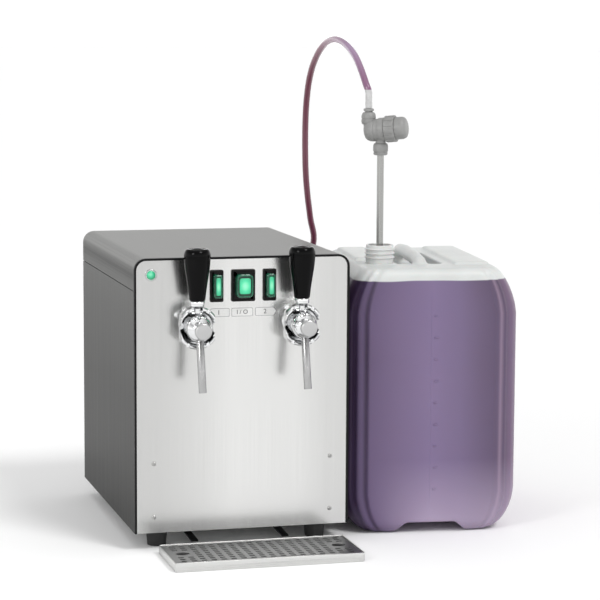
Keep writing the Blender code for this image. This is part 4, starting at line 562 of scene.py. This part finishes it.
def make_hose():
    """The hose leaves the inlet straight back, arches over the canister and drops straight into the strainer."""
    first = (HOSE_START[0], HOSE_START[1] + HOSE_LEAD, HOSE_START[2])
    last = (HOSE_END[0], HOSE_END[1], HOSE_END[2] + HOSE_LEAD)
    route = smooth_route([HOSE_START, first, *HOSE_ROUTE, last, HOSE_END])
    curve = bpy.data.curves.new("wine_hose", "CURVE")
    curve.dimensions = "3D"
    curve.bevel_depth = HOSE_RADIUS
    curve.bevel_resolution = 6
    curve.use_fill_caps = True
    line = curve.splines.new("POLY")
    line.points.add(len(route) - 1)
    for point, place in zip(line.points, route):
        point.co = (*place, 1)
    line.use_smooth = True
    hose = bpy.data.objects.new("wine_hose", curve)
    bpy.context.scene.collection.objects.link(hose)
    dress(hose, HOSE_WALL, "casing", "wine_filled_hose", "suction_hose")


make_hose()


# Floor and light

def make_studio():
    """A plain pale floor, a pale room that is dimmer high up, a broad high lamp and a soft one at the left."""
    let_go()
    bpy.ops.mesh.primitive_plane_add(size=1, location=(0, 0, 0))
    floor = named("floor")
    floor.scale = (60, 60, 1)
    fix_place(floor)
    paper = finish("pale_floor", (0.93, 0.93, 0.93), 0.8, Specular_IOR_Level=0.1)
    roughen(paper, (3, 3, 3), 0.76, 0.84)
    floor.data.materials.append(paper)
    room = bpy.data.worlds.new("pale_room")
    room.use_nodes = True
    source = add_node(room, "ShaderNodeTexCoord")
    split = add_node(room, "ShaderNodeSeparateXYZ")
    wire(room, source.outputs["Generated"], split.inputs["Vector"])
    light = ramp(room, split.outputs["Z"], (0.0, (0.95,) * 3), (0.12, (0.9,) * 3), (0.3, (0.6,) * 3),
                 (0.55, (0.25,) * 3), (0.8, (0.5,) * 3), (1.0, (0.75,) * 3))
    wire(room, light, room.node_tree.nodes["Background"].inputs["Color"])
    room.node_tree.nodes["Background"].inputs["Strength"].default_value = 1.55
    bpy.context.scene.world = room
    for kind, name, place, width, power in (("SUN", "high_lamp", (0.9, -1.6, 2.3), math.radians(18), 1.25),
                                            ("AREA", "left_lamp", (-1.6, -1.3, 1.1), 0.5, 9)):
        let_go()
        bpy.ops.object.light_add(type=kind, location=place)
        lamp = bpy.context.object
        lamp.name = name
        lamp.data.energy = power
        if kind == "SUN":
            lamp.data.angle = width
        else:
            lamp.data.size = width
        lamp.rotation_euler = (Vector(place) - Vector((0, 0, 0.2))).to_track_quat("Z", "Y").to_euler()
    bpy.context.scene.view_settings.view_transform = "Standard"


make_studio()


# Casing

def finish_casing():
    refinish(PANEL_STEEL, "front_panel")
    refinish(COVER_STEEL, "top_cover")
    refinish(SHADED_SIDE_STEEL, "side_panel_left", "side_panel_right", "rear_panel")
    refinish(BLACK_EDGE, "edge_trim", "tray_stop")
    refinish(ZINC, "base_plate")
    refinish(CASTING, "heater_block")
    refinish(TURNED_BRASS, "shank_nut_left", "shank_nut_right")
    refinish(CHROME, "tap_shank_left", "tap_shank_right", "lever_pin_left", "lever_pin_right")
    refinish(MILKY_TUBE, "feed_tube_left", "feed_tube_right", "outlet_tube_left", "outlet_tube_right")
    refinish(BLACK_MOULDING, "pump_left", "pump_right", "thermostat", "power_inlet")
    refinish(BOARD, "control_board")
    refinish(GREY_MOULDING, "wine_inlet_left", "wine_inlet_right")
    refinish(GRID_STEEL, "drip_grid")
    refinish(LANCE_STEEL, "suction_lance")


FEET_ACROSS = 0.1727
FEET_BACK = 0.2442


def make_feet():
    """Tapered rubber feet with a bead under the base and a dished sole."""
    rings = ((0.004, 0.0012), (0.0078, 0.0008), (0.0086, 0.0), (0.0094, 0.0), (0.01, 0.0006), (0.0102, 0.003),
             (0.0111, 0.0145), (0.01115, 0.0152), (0.01145, 0.0158), (0.0115, 0.0172), (0.0113, 0.0184),
             (0.0106, 0.0189), (0.0021, 0.0189), (0.002, 0.0278))
    first = turned("rubber_foot_front_left", rings, at(-0.08635, 0.029, 0))
    places = {"front_right": (FEET_ACROSS, 0, 0), "rear_left": (0, FEET_BACK, 0),
              "rear_right": (FEET_ACROSS, FEET_BACK, 0)}
    twins = [(copied(first, f"rubber_foot_{word}", move), f"foot_{word}") for word, move in places.items()]
    for foot, node in [(first, "foot_front_left"), *twins]:
        dress(foot, RUBBER, "casing", "black_rubber", node)


def screw(name, place, axis):
    """A small pan-head screw with a cross recess."""
    head = turned(name, ((0.0014, -0.0011), (0.0014, 0.0), (0.0023, 0.0), (0.0023, 0.00035), (0.0021, 0.0007),
                         (0.0016, 0.00095), (0.0009, 0.0011), (0.0003, 0.00115)), sides=24)
    cross = [box_piece("recess", (-wide, -high, 0.0003), (wide, high, 0.002))
             for wide, high in ((0.0013, 0.00024), (0.00024, 0.0013))]
    combine(head, "DIFFERENCE", *cross)
    head.matrix_world = Matrix.Translation(place) @ Vector(axis).to_track_quat("Z", "Y").to_matrix().to_4x4()
    return smooth(fix_place(head))


SCREWS_ACROSS = 0.1901
SCREWS_UP = 0.0568


def make_screws():
    """Four screws in the front panel and four in the rear one."""
    front = screw("panel_screw", at(-0.09505, 0, 0.0355), (0, -1, 0))
    for index, (x, z) in enumerate(((0, SCREWS_UP), (SCREWS_ACROSS, 0), (SCREWS_ACROSS, SCREWS_UP))):
        dress(copied(front, f"panel_screw_{index + 2}", (x, 0, z)), PIN_STEEL, "casing", "zinc_plated_steel")
    dress(front, PIN_STEEL, "casing", "zinc_plated_steel")
    low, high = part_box("rear_panel")
    from_edge = 0.0125
    for word, x in (("left", low.x + from_edge), ("right", high.x - from_edge)):
        for level, z in (("low", 0.049), ("high", 0.239)):
            rear = screw(f"rear_screw_{word}_{level}", Vector((x, high.y, z)), (0, 1, 0))
            dress(rear, PIN_STEEL, "casing", "zinc_plated_steel")


finish_casing()
make_feet()
make_screws()


# Lamp, switches and labels

BEZEL_FOOT, BEZEL_TOP = 0.26005, 0.29355
BOOT_FOOT, BOOT_TOP = 0.26455, 0.28905
SWITCHES = (("pump_1", -0.0283, 0.0141, 0.0088), ("power", 0, 0.0253, 0.018), ("pump_2", 0.0283, 0.0141, 0.0088))
LABEL_FOOT, LABEL_TOP = 0.2443, 0.2532
LABEL_TIP = 0.003


def make_lamp():
    """The chrome bezel and domed green lens at the panel's upper left."""
    place = at(-0.09755, 0, 0.2897)
    bezel = turned("lamp_bezel", ((0.0046, -0.02), (0.0046, 0.0), (0.0063, 0.0), (0.0063, 0.0007), (0.0061, 0.0012),
                                  (0.0057, 0.0016), (0.0054, 0.0016), (0.00515, 0.0013), (0.0051, 0.0004),
                                  (0.0046, 0.0004)), place, (0, -1, 0))
    dress(bezel, CHROME, "casing", "chrome", "lamp_body")
    lens = turned("lamp_dome", ((0.0047, 0.0005), (0.0047, 0.001), (0.0044, 0.0014), (0.0037, 0.0019),
                                (0.0027, 0.0023), (0.0014, 0.0025), (0.0003, 0.0026)), place, (0, -1, 0))
    glow = lit_green("lamp_glow", at(-0.0985, -0.004, 0.291), (0.0055, 0.0055, 0.0055), 0.1)
    dress(lens, glow, "casing", "green_lens", "lamp_lens")


def make_bezel(name, x, width, node):
    """A switch frame: rounded upright corners, a softened front edge and a shallow well."""
    low, high = at(x - width / 2, -0.0023, BEZEL_FOOT), at(x + width / 2, -0.0003, BEZEL_TOP)
    frame_piece = box_piece(name, low, high)
    bevel_edges(frame_piece, lambda a, b: abs(a.y - b.y) > 0.001, 0.0016, 4)
    bevel_edges(frame_piece, lambda a, b: max(a.y, b.y) < low.y + 0.00001, 0.0005, 2)
    pick_faces(frame_piece, lambda middle, normal: normal.y < -0.99)
    bpy.ops.mesh.inset(thickness=0.0014, depth=0)
    bpy.ops.mesh.inset(thickness=0.0004, depth=-0.0005)
    bpy.ops.object.mode_set(mode="OBJECT")
    smooth(frame_piece)
    dress(frame_piece, BLACK_MOULDING, "casing", "black_plastic", node)


def make_boot(name, x, width, node):
    """A silicone boot: soft rounded shell, a groove inside its rim coloured darker as painted shade, and the lit pad
    that covers the rocker.
    """
    low, high = at(x - width / 2, -0.0103, BOOT_FOOT), at(x + width / 2, -0.0026, BOOT_TOP)
    corner = width * 0.26
    shell = box_piece(name, low, high)
    bevel_edges(shell, lambda a, b: abs(a.y - b.y) > 0.001, corner, 6)
    bevel_edges(shell, lambda a, b: max(a.y, b.y) < low.y + 0.00001, 0.0016, 4)
    pick_faces(shell, lambda middle, normal: normal.y < -0.99)
    bpy.ops.mesh.inset(thickness=0.0003, depth=0)
    bpy.ops.mesh.inset(thickness=0.0003, depth=-0.0008)
    bpy.ops.mesh.inset(thickness=0.0006, depth=0)
    bpy.ops.object.mode_set(mode="OBJECT")
    smooth(shell)
    dress(shell, BOOT_GREEN, "casing", "green_silicone", node)
    # The sunken groove faces take the darker green: painted shade.
    shell.data.materials.append(GROOVE_PAINTED_SHADE)
    for face in shell.data.polygons:
        if face.normal.y < -0.99 and face.center.y > low.y + 0.0006:
            face.material_index = 1
    rim = 0.003 if width > 0.01 else 0.0019
    pad = box_piece(f"{name}_pad", low + Vector((rim, 0.0002, rim + 0.001)),
                    Vector((high.x - rim, low.y + 0.002, high.z - rim - 0.001)))
    bevel_edges(pad, lambda a, b: abs(a.y - b.y) > 0.001, min((width - 2 * rim) * 0.32, 0.0022), 5)
    bevel_edges(pad, lambda a, b: max(a.y, b.y) < low.y + 0.00021, 0.0005, 3)
    smooth(pad)
    glow = lit_green(f"{name}_glow", (low + high) / 2 + Vector((0, -0.006, 0)), (width * 0.5, 0.012, 0.011), 0.4)
    dress(pad, glow, "casing", "green_lens")


def make_switches():
    """Two narrow switches with the wide power switch between them."""
    for word, x, frame_width, boot_width in SWITCHES:
        make_bezel(f"{word}_bezel", x, frame_width, f"{word}_switch_frame")
        make_boot(f"{word}_boot", x, boot_width, f"{word}_switch_boot")
        glow = lit_green(f"{word}_rocker_glow", at(x, -0.004, 0.2768), (0.008, 0.008, 0.01), 0.3)
        refinish(glow, f"{word}_rocker")


def plate(name, corners, front, back, material, rounding):
    """A thin plate on the panel, from its corners in X and Z."""
    let_go()
    bpy.ops.mesh.primitive_circle_add(vertices=len(corners), radius=0.01, fill_type="NGON")
    piece = named(name)
    for point, (x, z) in zip(piece.data.vertices, corners):
        point.co = at(x, -back, z)
    bpy.ops.object.mode_set(mode="EDIT")
    bpy.ops.mesh.select_all(action="SELECT")
    bpy.ops.mesh.bevel(offset=rounding, segments=4, affect="VERTICES")
    bpy.ops.mesh.select_all(action="SELECT")
    bpy.ops.mesh.extrude_region_move(TRANSFORM_OT_translate={"value": (0, back - front, 0)})
    bpy.ops.mesh.select_all(action="SELECT")
    bpy.ops.mesh.normals_make_consistent(inside=False)
    bpy.ops.object.mode_set(mode="OBJECT")
    dress(piece, material, "casing", "grey_plastic" if material is LABEL_GREY else "milky_tube")
    return piece


def label_corners(left, right, low, high, inset, point):
    """A label's outline drawn in by inset; its outer end is a blunt point on the side that point names."""
    left, right, low, high = left + inset, right - inset, low + inset, high - inset
    middle = (low + high) / 2
    corners = [(left, low), (right, low), (right, high), (left, high)]
    if point > 0:
        corners[1:3] = [(right - LABEL_TIP, low), (right, middle), (right - LABEL_TIP, high)]
    if point < 0:
        corners = [(left + LABEL_TIP, low), (right, low), (right, high), (left + LABEL_TIP, high), (left, middle)]
    return corners


def mark(name, text, x, z, size):
    """A plain numeral or the bar and ring of a power switch, on a label."""
    let_go()
    bpy.ops.object.text_add(location=(0, 0, 0))
    numeral = bpy.context.object
    numeral.data.body = text
    numeral.data.size = size
    numeral.data.align_x = "CENTER"
    numeral.data.align_y = "CENTER"
    numeral.data.extrude = 0.00004
    bpy.ops.object.convert(target="MESH")
    numeral = named(name)
    numeral.matrix_world = Matrix.Translation(at(x, -0.00026, z)) @ Matrix.Rotation(math.pi / 2, 4, "X")
    fix_place(numeral)
    dress(numeral, LABEL_BLACK, "casing", "black_plastic")


def make_labels():
    """Three small rimmed labels under the switches, with plain numerals and the power sign."""
    for word, left, right, point in (("left", -0.0373, -0.01445, -1), ("middle", -0.01225, 0.01055, 0),
                                     ("right", 0.01325, 0.03605, 1)):
        rim = label_corners(left, right, LABEL_FOOT, LABEL_TOP, 0, point)
        field = label_corners(left, right, LABEL_FOOT, LABEL_TOP, 0.0004, point)
        plate(f"label_rim_{word}", rim, 0.00012, 0.0, LABEL_GREY, 0.0012)
        plate(f"label_field_{word}", field, 0.0002, 0.00005, LABEL_WHITE, 0.001)
    middle = (LABEL_FOOT + LABEL_TOP) / 2
    mark("mark_left", "1", -0.0259, middle, 0.0068)
    mark("mark_middle", "I / O", -0.00085, middle, 0.0064)
    mark("mark_right", "2", 0.0237, middle, 0.0068)


make_lamp()
make_switches()
make_labels()


# Taps, modelled once at the left

COLLAR_FOOT = at(-TAP_ASIDE, -0.0215, TAP_HEIGHT)
BALL_CENTRE = at(-TAP_ASIDE, -0.0385, TAP_HEIGHT)
BALL_RADIUS = 0.01375
LEVER_FOOT = at(-TAP_ASIDE, -0.030, 0)
GRIP_FOOT = at(-TAP_ASIDE, -0.030, 0.2659)
NOTCH_DEGREES = (22, 58, 122, 158, 202, 238, 302, 338)


def make_collar():
    """The ring round the ball: flats at its sides, a slot for the lever and notches round its front edge."""
    foot = COLLAR_FOOT
    collar = turned("collar_ring_left", (
        (0.0082, 0.0), (0.0192, 0.0), (0.0208, 0.0006), (0.0219, 0.0018), (0.0223, 0.0034), (0.0223, 0.0105),
        (0.0219, 0.0122), (0.0212, 0.0136), (0.0204, 0.0144), (0.0194, 0.0145), (0.0186, 0.014), (0.0182, 0.0128),
        (0.0181, 0.006), (0.0176, 0.0046), (0.0165, 0.004), (0.0003, 0.004)), foot, (0, -1, 0), 96)
    tools = []
    for side in (-1, 1):
        edges = sorted((side * 0.0175, side * 0.026))
        tools.append(box_piece("flat", foot + Vector((edges[0], -0.02, -0.026)),
                               foot + Vector((edges[1], 0.004, 0.026))))
    tools.append(box_piece("lever_slot", foot + Vector((-0.0046, -0.016, 0.009)),
                           foot + Vector((0.0046, -0.004, 0.026))))
    for degrees in NOTCH_DEGREES:
        notch = box_piece("notch", (-0.0018, -0.0158, 0.0165), (0.0018, -0.0118, 0.026), 0.0005, 2)
        notch.matrix_world = Matrix.Translation(foot) @ Matrix.Rotation(math.radians(degrees + 90), 4, "Y")
        tools.append(fix_place(notch))
    combine(collar, "DIFFERENCE", *tools)
    take(collar)
    soft = collar.modifiers.new("edge", "BEVEL")
    soft.width = 0.0003
    soft.segments = 2
    soft.limit_method = "ANGLE"
    soft.angle_limit = math.radians(40)
    bpy.ops.object.modifier_apply(modifier=soft.name)
    return smooth(collar)


def make_ball():
    """The valve ball with the small pearl at its upper left."""
    let_go()
    bpy.ops.mesh.primitive_uv_sphere_add(segments=64, ring_count=32, radius=BALL_RADIUS, location=BALL_CENTRE)
    ball = fix_place(named("valve_ball_left"))
    bpy.ops.object.mode_set(mode="EDIT")
    bpy.ops.mesh.select_all(action="SELECT")
    bpy.ops.mesh.bisect(plane_co=BALL_CENTRE + Vector((0, 0.0123, 0)), plane_no=(0, 1, 0), clear_outer=True,
                        use_fill=True)
    bpy.ops.object.mode_set(mode="OBJECT")
    let_go()
    bpy.ops.mesh.primitive_uv_sphere_add(segments=32, ring_count=16, radius=0.005,
                                         location=at(-TAP_ASIDE - 0.0066, -0.0492, TAP_HEIGHT + 0.0098))
    pearl = fix_place(named("pearl"))
    combine(ball, "UNION", pearl)
    return smooth(ball, 50)


def make_nose():
    """The satin disc in front of the ball, on its chrome neck."""
    return turned("nose_disc_left", (
        (0.006, 0.011), (0.006, 0.0148), (0.0066, 0.0156), (0.0079, 0.0161), (0.0086, 0.017), (0.0088, 0.0182),
        (0.0088, 0.0208), (0.0085, 0.0218), (0.0079, 0.0224), (0.0068, 0.0226), (0.0003, 0.0226)),
        BALL_CENTRE, (0, -1, 0), 64)


def make_spout():
    """A slim tube that leans forward, open at its foot."""
    top = at(-TAP_ASIDE, -0.0412, TAP_HEIGHT - 0.0065)
    foot = at(-TAP_ASIDE, -0.0552, TAP_HEIGHT - 0.0634)
    along = foot - top
    return turned("spout_tube_left", (
        (0.0038, 0.0), (0.004, 0.0004), (0.004, along.length - 0.0003), (0.0038, along.length),
        (0.0034, along.length), (0.0032, along.length - 0.0003), (0.0032, along.length - 0.02)), top, along)


def make_ferrule():
    """The lever's stem, its chrome ferrule and the stud in the handle."""
    return turned("ferrule_left", (
        (0.0026, 0.2525), (0.0034, 0.2530), (0.0035, 0.2545), (0.0035, 0.2578), (0.004, 0.2584), (0.0072, 0.2603),
        (0.0077, 0.2608), (0.0078, 0.2614), (0.0078, 0.2648), (0.0076, 0.2654), (0.0072, 0.2657), (0.004, 0.2657),
        (0.004, 0.2856)), LEVER_FOOT)


def make_handle():
    """The glossy tapered grip with a rim round its domed top."""
    return turned("grip_left", (
        (0.0072, 0.0), (0.0079, 0.0002), (0.0083, 0.001), (0.00855, 0.0035), (0.0093, 0.010), (0.0104, 0.0175),
        (0.0116, 0.025), (0.01275, 0.0325), (0.0134, 0.0385), (0.0137, 0.0436), (0.01372, 0.0462), (0.01355, 0.0482),
        (0.0132, 0.0498), (0.0126, 0.0512), (0.0118, 0.0523), (0.0108, 0.053), (0.0098, 0.0532), (0.009, 0.053),
        (0.0083, 0.0527), (0.0074, 0.0528), (0.006, 0.0533), (0.004, 0.0538), (0.002, 0.0541), (0.0003, 0.0542)),
        GRIP_FOOT, sides=64)


def make_taps():
    """Every piece of the left tap, and its twin on the right."""
    parts = (
        (make_collar(), CHROME, "casing", "chrome", "tap_collar"),
        (make_ball(), CHROME, "casing", "chrome", "tap_body"),
        (make_nose(), SATIN_CHROME, "casing", "chrome", None),
        (make_spout(), SPOUT_STEEL, "casing", "bright_brushed_steel", "spout"),
        (make_ferrule(), CHROME, "lever", "chrome", "lever"),
        (make_handle(), BLACK_GLOSS, "lever", "black_gloss_plastic", "lever_handle"))
    for piece, material, body, slot, node in parts:
        twin = copied(piece, piece.name.replace("left", "right"), (TO_RIGHT_TAP, 0, 0))
        for word, side in (("left", piece), ("right", twin)):
            nodes = [f"{node}_{word}"] if node else []
            dress(side, material, body if body == "casing" else f"lever_{word}", slot, *nodes)


make_taps()


# Drip tray

def make_tray():
    """A shallow folded pan with a bright rolled rim."""
    low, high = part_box("drip_tray")
    tray = box_piece("folded_tray", low, high)
    bevel_edges(tray, lambda a, b: abs(a.z - b.z) > 0.005, 0.002, 4)
    pick_faces(tray, lambda middle, normal: normal.z > 0.99)
    bpy.ops.mesh.inset(thickness=0.0011, depth=0)
    bpy.ops.mesh.extrude_region_move(TRANSFORM_OT_translate={"value": (0, 0, -0.0084)})
    bpy.ops.object.mode_set(mode="OBJECT")
    bevel_edges(tray, lambda a, b: min(a.z, b.z) > high.z - 0.00001, 0.0003, 2)
    bevel_edges(tray, lambda a, b: max(a.z, b.z) < low.z + 0.00001, 0.0008, 3)
    smooth(tray)
    dress(tray, TRAY_STEEL, "drip_tray", "bright_brushed_steel", "drip_tray")


make_tray()


# Canister

def in_canister(piece):
    """Turns a piece from the canister's own frame, X from its middle and Y back from its face, to its place."""
    piece.matrix_world = Matrix.Translation(CANISTER_FRONT) @ Matrix.Rotation(CANISTER_TURN, 4, "Z")
    return fix_place(piece)


GROOVES = ((-0.0745, -0.0034), (-0.0882, 0.0006), (0.0735, -0.0034), (0.0872, 0.0002))
GROOVE_RADIUS = 0.006
NECK_FOOT = (-0.0492, 0.0511, 0)
MOULDING_GRAIN = 0.002
BODY_HEIGHTS = (0.0004, 0.0012, 0.0025, 0.0045, 0.007, 0.01, 0.014, 0.019, 0.025, 0.032, 0.039, 0.046, 0.09, 0.14, 0.19,
                0.2375, 0.246, 0.2535, 0.2595, 0.265, 0.27, 0.2745, 0.278, 0.281, 0.2835, 0.2852, 0.2865, 0.2872,
                CANISTER_TOP)


def canister_body():
    """Blow-moulded body: its plan, with two upright grooves at each corner, drawn up ring by ring."""
    body = box_piece("canister_shell", (-CANISTER_HALF, 0, 0), (CANISTER_HALF, CANISTER_DEPTH, BODY_HEIGHTS[0]))
    bevel_edges(body, lambda a, b: abs(a.z - b.z) > 0.0003, 0.024, 12)
    cutters = []
    for x, y in GROOVES:
        for place in ((x, y), (x, CANISTER_DEPTH - y)):
            let_go()
            bpy.ops.mesh.primitive_cylinder_add(vertices=24, radius=GROOVE_RADIUS, depth=0.02, location=(*place, 0))
            cutters.append(fix_place(named("groove")))
    combine(body, "DIFFERENCE", *cutters)
    middle = CANISTER_DEPTH / 2
    take(body)
    width, depth, height = half_width(0), middle - end_inset(0), BODY_HEIGHTS[0]
    bpy.ops.object.mode_set(mode="EDIT")
    bpy.ops.mesh.select_all(action="SELECT")
    bpy.ops.transform.resize(value=(width / CANISTER_HALF, depth / middle, 1), center_override=(0, middle, 0))
    bpy.ops.object.mode_set(mode="OBJECT")
    pick_faces(body, lambda centre, normal: normal.z > 0.99)
    for z in BODY_HEIGHTS[1:]:
        bpy.ops.mesh.extrude_region_move(TRANSFORM_OT_translate={"value": (0, 0, z - height)})
        bpy.ops.transform.resize(value=(half_width(z) / width, (middle - end_inset(z)) / depth, 1),
                                 center_override=(0, middle, z))
        width, depth, height = half_width(z), middle - end_inset(z), z
    bpy.ops.object.mode_set(mode="OBJECT")
    return body


def bent_rod(name, points, radius, sides=4):
    """A rod along points, as a mesh."""
    curve = bpy.data.curves.new(name, "CURVE")
    curve.dimensions = "3D"
    curve.bevel_depth = radius
    curve.bevel_resolution = sides
    curve.use_fill_caps = True
    line = curve.splines.new("POLY")
    line.points.add(len(points) - 1)
    for point, place in zip(line.points, points):
        point.co = (*place, 1)
    rod = bpy.data.objects.new(name, curve)
    bpy.context.scene.collection.objects.link(rod)
    take(rod)
    bpy.ops.object.convert(target="MESH")
    rod = named(name)
    bpy.ops.object.mode_set(mode="EDIT")
    bpy.ops.mesh.select_all(action="SELECT")
    bpy.ops.mesh.remove_doubles(threshold=0.00001)
    bpy.ops.mesh.normals_make_consistent(inside=False)
    bpy.ops.object.mode_set(mode="OBJECT")
    return rod


def canister_grip():
    """The thick soft handle arch, highest at its back."""
    path = [(0, 0.036, 0.268), (0, 0.0385, 0.279), (0, 0.044, 0.288), (0, 0.056, 0.2935), (0, 0.09, 0.2962),
            (0, 0.13, 0.2975), (0, 0.155, 0.2965), (0, 0.168, 0.291), (0, 0.175, 0.282), (0, 0.178, 0.268)]
    grip = bent_rod("handle_arch", path, 0.0072, 6)
    grip.scale = (1.1, 1, 0.985)
    grip.location = (-0.0045, 0, 0)
    return fix_place(grip)


def make_canister():
    """The body with its foot channel, recess, pads, handle arch and neck boss, melted into one soft moulding."""
    body = canister_body()
    channel = box_piece("channel", (-0.0325, -0.01, -0.02), (0.0325, 0.24, 0.0115))
    for point in channel.data.vertices:
        point.co.x = math.copysign(0.027 if point.co.z > 0 else 0.064, point.co.x)
    recess = box_piece("recess", (-0.031, 0.05, 0.2752), (0.021, 0.164, 0.31), 0.006, 4)
    combine(body, "DIFFERENCE", channel, recess)
    pads = [box_piece("pad", (0.03, 0.035, 0.281), (0.069, 0.205, 0.291), 0.003, 3),
            box_piece("pad", (-0.069, 0.09, 0.281), (-0.036, 0.205, 0.291), 0.003, 3)]
    boss = turned("neck_boss", ((0.019, 0.27), (0.019, 0.2868), (0.0185, 0.2885), (0.0165, 0.289)), NECK_FOOT)
    combine(body, "UNION", *pads, canister_grip(), boss)
    take(body)
    body.data.remesh_voxel_size = MOULDING_GRAIN
    bpy.ops.object.voxel_remesh()
    relax = body.modifiers.new("soften", "SMOOTH")
    relax.factor = 0.5
    relax.iterations = 3
    bpy.ops.object.modifier_apply(modifier=relax.name)
    bpy.ops.object.shade_smooth()
    in_canister(body)
    dress(body, CANISTER_SHELL, "casing", "wine_filled_canister", "canister")


FIRST_STROKE = 0.0475
STROKE_STEP = 0.0236
STROKE_HEIGHT = 0.0012
STROKE_COUNT = 9


def make_graduations():
    """Small raised strokes up the front, and the faint parting line beside them."""
    strokes = []
    for index in range(STROKE_COUNT):
        foot = FIRST_STROKE + STROKE_STEP * index
        end = 0.0065 if index % 2 else 0.005
        strokes.append(box_piece("graduation_marks", (0.0015, -0.0009, foot), (end, 0.0006, foot + STROKE_HEIGHT),
                                 0.0003, 2))
    line = box_piece("parting_line", (-0.0019, -0.00012, 0.03), (-0.0007, 0.0006, 0.262), 0.0001, 1)
    strokes.append(line)
    let_go()
    for stroke in strokes:
        stroke.select_set(True)
    bpy.context.view_layer.objects.active = strokes[0]
    bpy.ops.object.join()
    in_canister(smooth(strokes[0]))
    dress(strokes[0], CANISTER_SHELL, "casing", "wine_filled_canister")


def make_neck():
    """The threaded filling neck, open at the top."""
    rings = [(0.0128, 0.284), (0.0152, 0.284), (0.015, 0.2905)]
    for middle in (0.2955, 0.3, 0.3045):
        rings += [(0.015, middle - 0.0013), (0.0164, middle - 0.0003),
                  (0.0164, middle + 0.0003), (0.015, middle + 0.0013)]
    rings += [(0.015, 0.3083), (0.0147, 0.309), (0.0131, 0.309), (0.0128, 0.3086), (0.0127, 0.286)]
    neck = turned("threaded_neck", rings, NECK_FOOT, sides=64)
    in_canister(neck)
    dress(neck, NECK_WHITE, "casing", "milky_tube")


make_canister()
make_graduations()
make_neck()


# Strainer

STRAINER_HEIGHT = 0.4333
STRAINER_TURN = math.radians(-32.7)
STRAINER_RISE = math.radians(6)
LANCE_MIDDLE = (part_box("suction_lance")[0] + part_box("suction_lance")[1]) / 2
STRAINER = Vector((LANCE_MIDDLE.x, LANCE_MIDDLE.y, STRAINER_HEIGHT))
STRAINER_AXIS = Vector((math.cos(STRAINER_TURN) * math.cos(STRAINER_RISE),
                        math.sin(STRAINER_TURN) * math.cos(STRAINER_RISE), math.sin(STRAINER_RISE)))
RIB_COUNT = 12


def make_strainer():
    """The push-fit strainer: barrel, two ports, ribbed nut and domed cap."""
    barrel = turned("strainer_barrel", (
        (0.0035, -0.0179), (0.0062, -0.0176), (0.0085, -0.0166), (0.0103, -0.0148), (0.0114, -0.0124),
        (0.0119, -0.0098), (0.0119, -0.0068), (0.0116, -0.0064), (0.0116, -0.0058), (0.0121, -0.0054),
        (0.0121, -0.0022), (0.0124, -0.0018), (0.0124, -0.001), (0.0128, -0.0006), (0.0128, 0.0052),
        (0.0124, 0.0055), (0.0095, 0.0055), (0.0095, 0.0173)), STRAINER, STRAINER_AXIS, 64)
    dress(barrel, GREY_MOULDING, "casing", "grey_plastic", "strainer_body")
    port = STRAINER - STRAINER_AXIS * 0.0137
    upper = turned("upper_port", (
        (0.0055, 0.0), (0.0055, 0.0052), (0.0068, 0.0058), (0.0076, 0.0068), (0.0079, 0.0085), (0.0079, 0.0108),
        (0.0075, 0.0112), (0.0075, 0.0119), (0.0079, 0.0123), (0.0079, 0.0142), (0.0076, 0.0158), (0.0069, 0.0172),
        (0.006, 0.0184), (0.0044, 0.0187), (0.0042, 0.0195), (0.0052, 0.0198), (0.0056, 0.0203), (0.0056, 0.0219),
        (0.0053, 0.0225), (0.004, 0.0227)), Vector((port.x, port.y, STRAINER_HEIGHT)))
    dress(upper, GREY_MOULDING, "casing", "grey_plastic")
    lower = turned("lower_port", (
        (0.0041, -0.0273), (0.0062, -0.0273), (0.0073, -0.0268), (0.0076, -0.026), (0.0077, -0.0246), (0.0073, -0.0242),
        (0.0073, -0.0237), (0.0079, -0.0232), (0.0081, -0.0222), (0.0081, -0.0178), (0.0077, -0.0158), (0.007, -0.0148),
        (0.0056, -0.0142), (0.0055, -0.008)), STRAINER)
    dress(lower, GREY_MOULDING, "casing", "grey_plastic")
    nut = turned("nut_core", ((0.0098, 0.0058), (0.0132, 0.0058), (0.0136, 0.0062), (0.0136, 0.0168), (0.0132, 0.0173),
                              (0.0098, 0.0173)), sides=72)
    ribs = []
    for index in range(RIB_COUNT):
        rib = box_piece("rib", (0.0118, -0.0024, 0.0062), (0.0143, 0.0024, 0.0171), 0.0006, 2)
        rib.matrix_world = Matrix.Rotation(math.radians(360 / RIB_COUNT * index + 7), 4, "Z")
        ribs.append(fix_place(rib))
    combine(nut, "UNION", *ribs)
    nut.matrix_world = Matrix.Translation(STRAINER) @ STRAINER_AXIS.to_track_quat("Z", "Y").to_matrix().to_4x4()
    nut.name = "ribbed_nut"
    dress(smooth(fix_place(nut)), GREY_MOULDING, "casing", "grey_plastic", "strainer_nut")
    cap = turned("domed_cap", (
        (0.0095, 0.0176), (0.0121, 0.0176), (0.0121, 0.0232), (0.0119, 0.0252), (0.0113, 0.0269), (0.0101, 0.0282),
        (0.0085, 0.029), (0.0062, 0.0294), (0.0003, 0.0294)), STRAINER, STRAINER_AXIS, 64)
    dress(cap, GREY_MOULDING, "casing", "grey_plastic", "strainer_cap")


make_strainer()


# Rear

def make_inlet_pins():
    """Three flat pins in the mains inlet."""
    low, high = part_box("power_inlet")
    middle = (low + high) / 2
    for word, x, z in (("left", -0.007, -0.002), ("right", 0.007, -0.002), ("middle", 0.0, 0.002)):
        foot = Vector((middle.x + x, high.y - 0.0155, middle.z + z))
        pin = box_piece(f"inlet_pin_{word}", foot + Vector((-0.001, 0, -0.002)),
                        foot + Vector((0.001, 0.0125, 0.002)), 0.0005, 2)
        dress(smooth(pin), PIN_STEEL, "casing", "zinc_plated_steel")


make_inlet_pins()
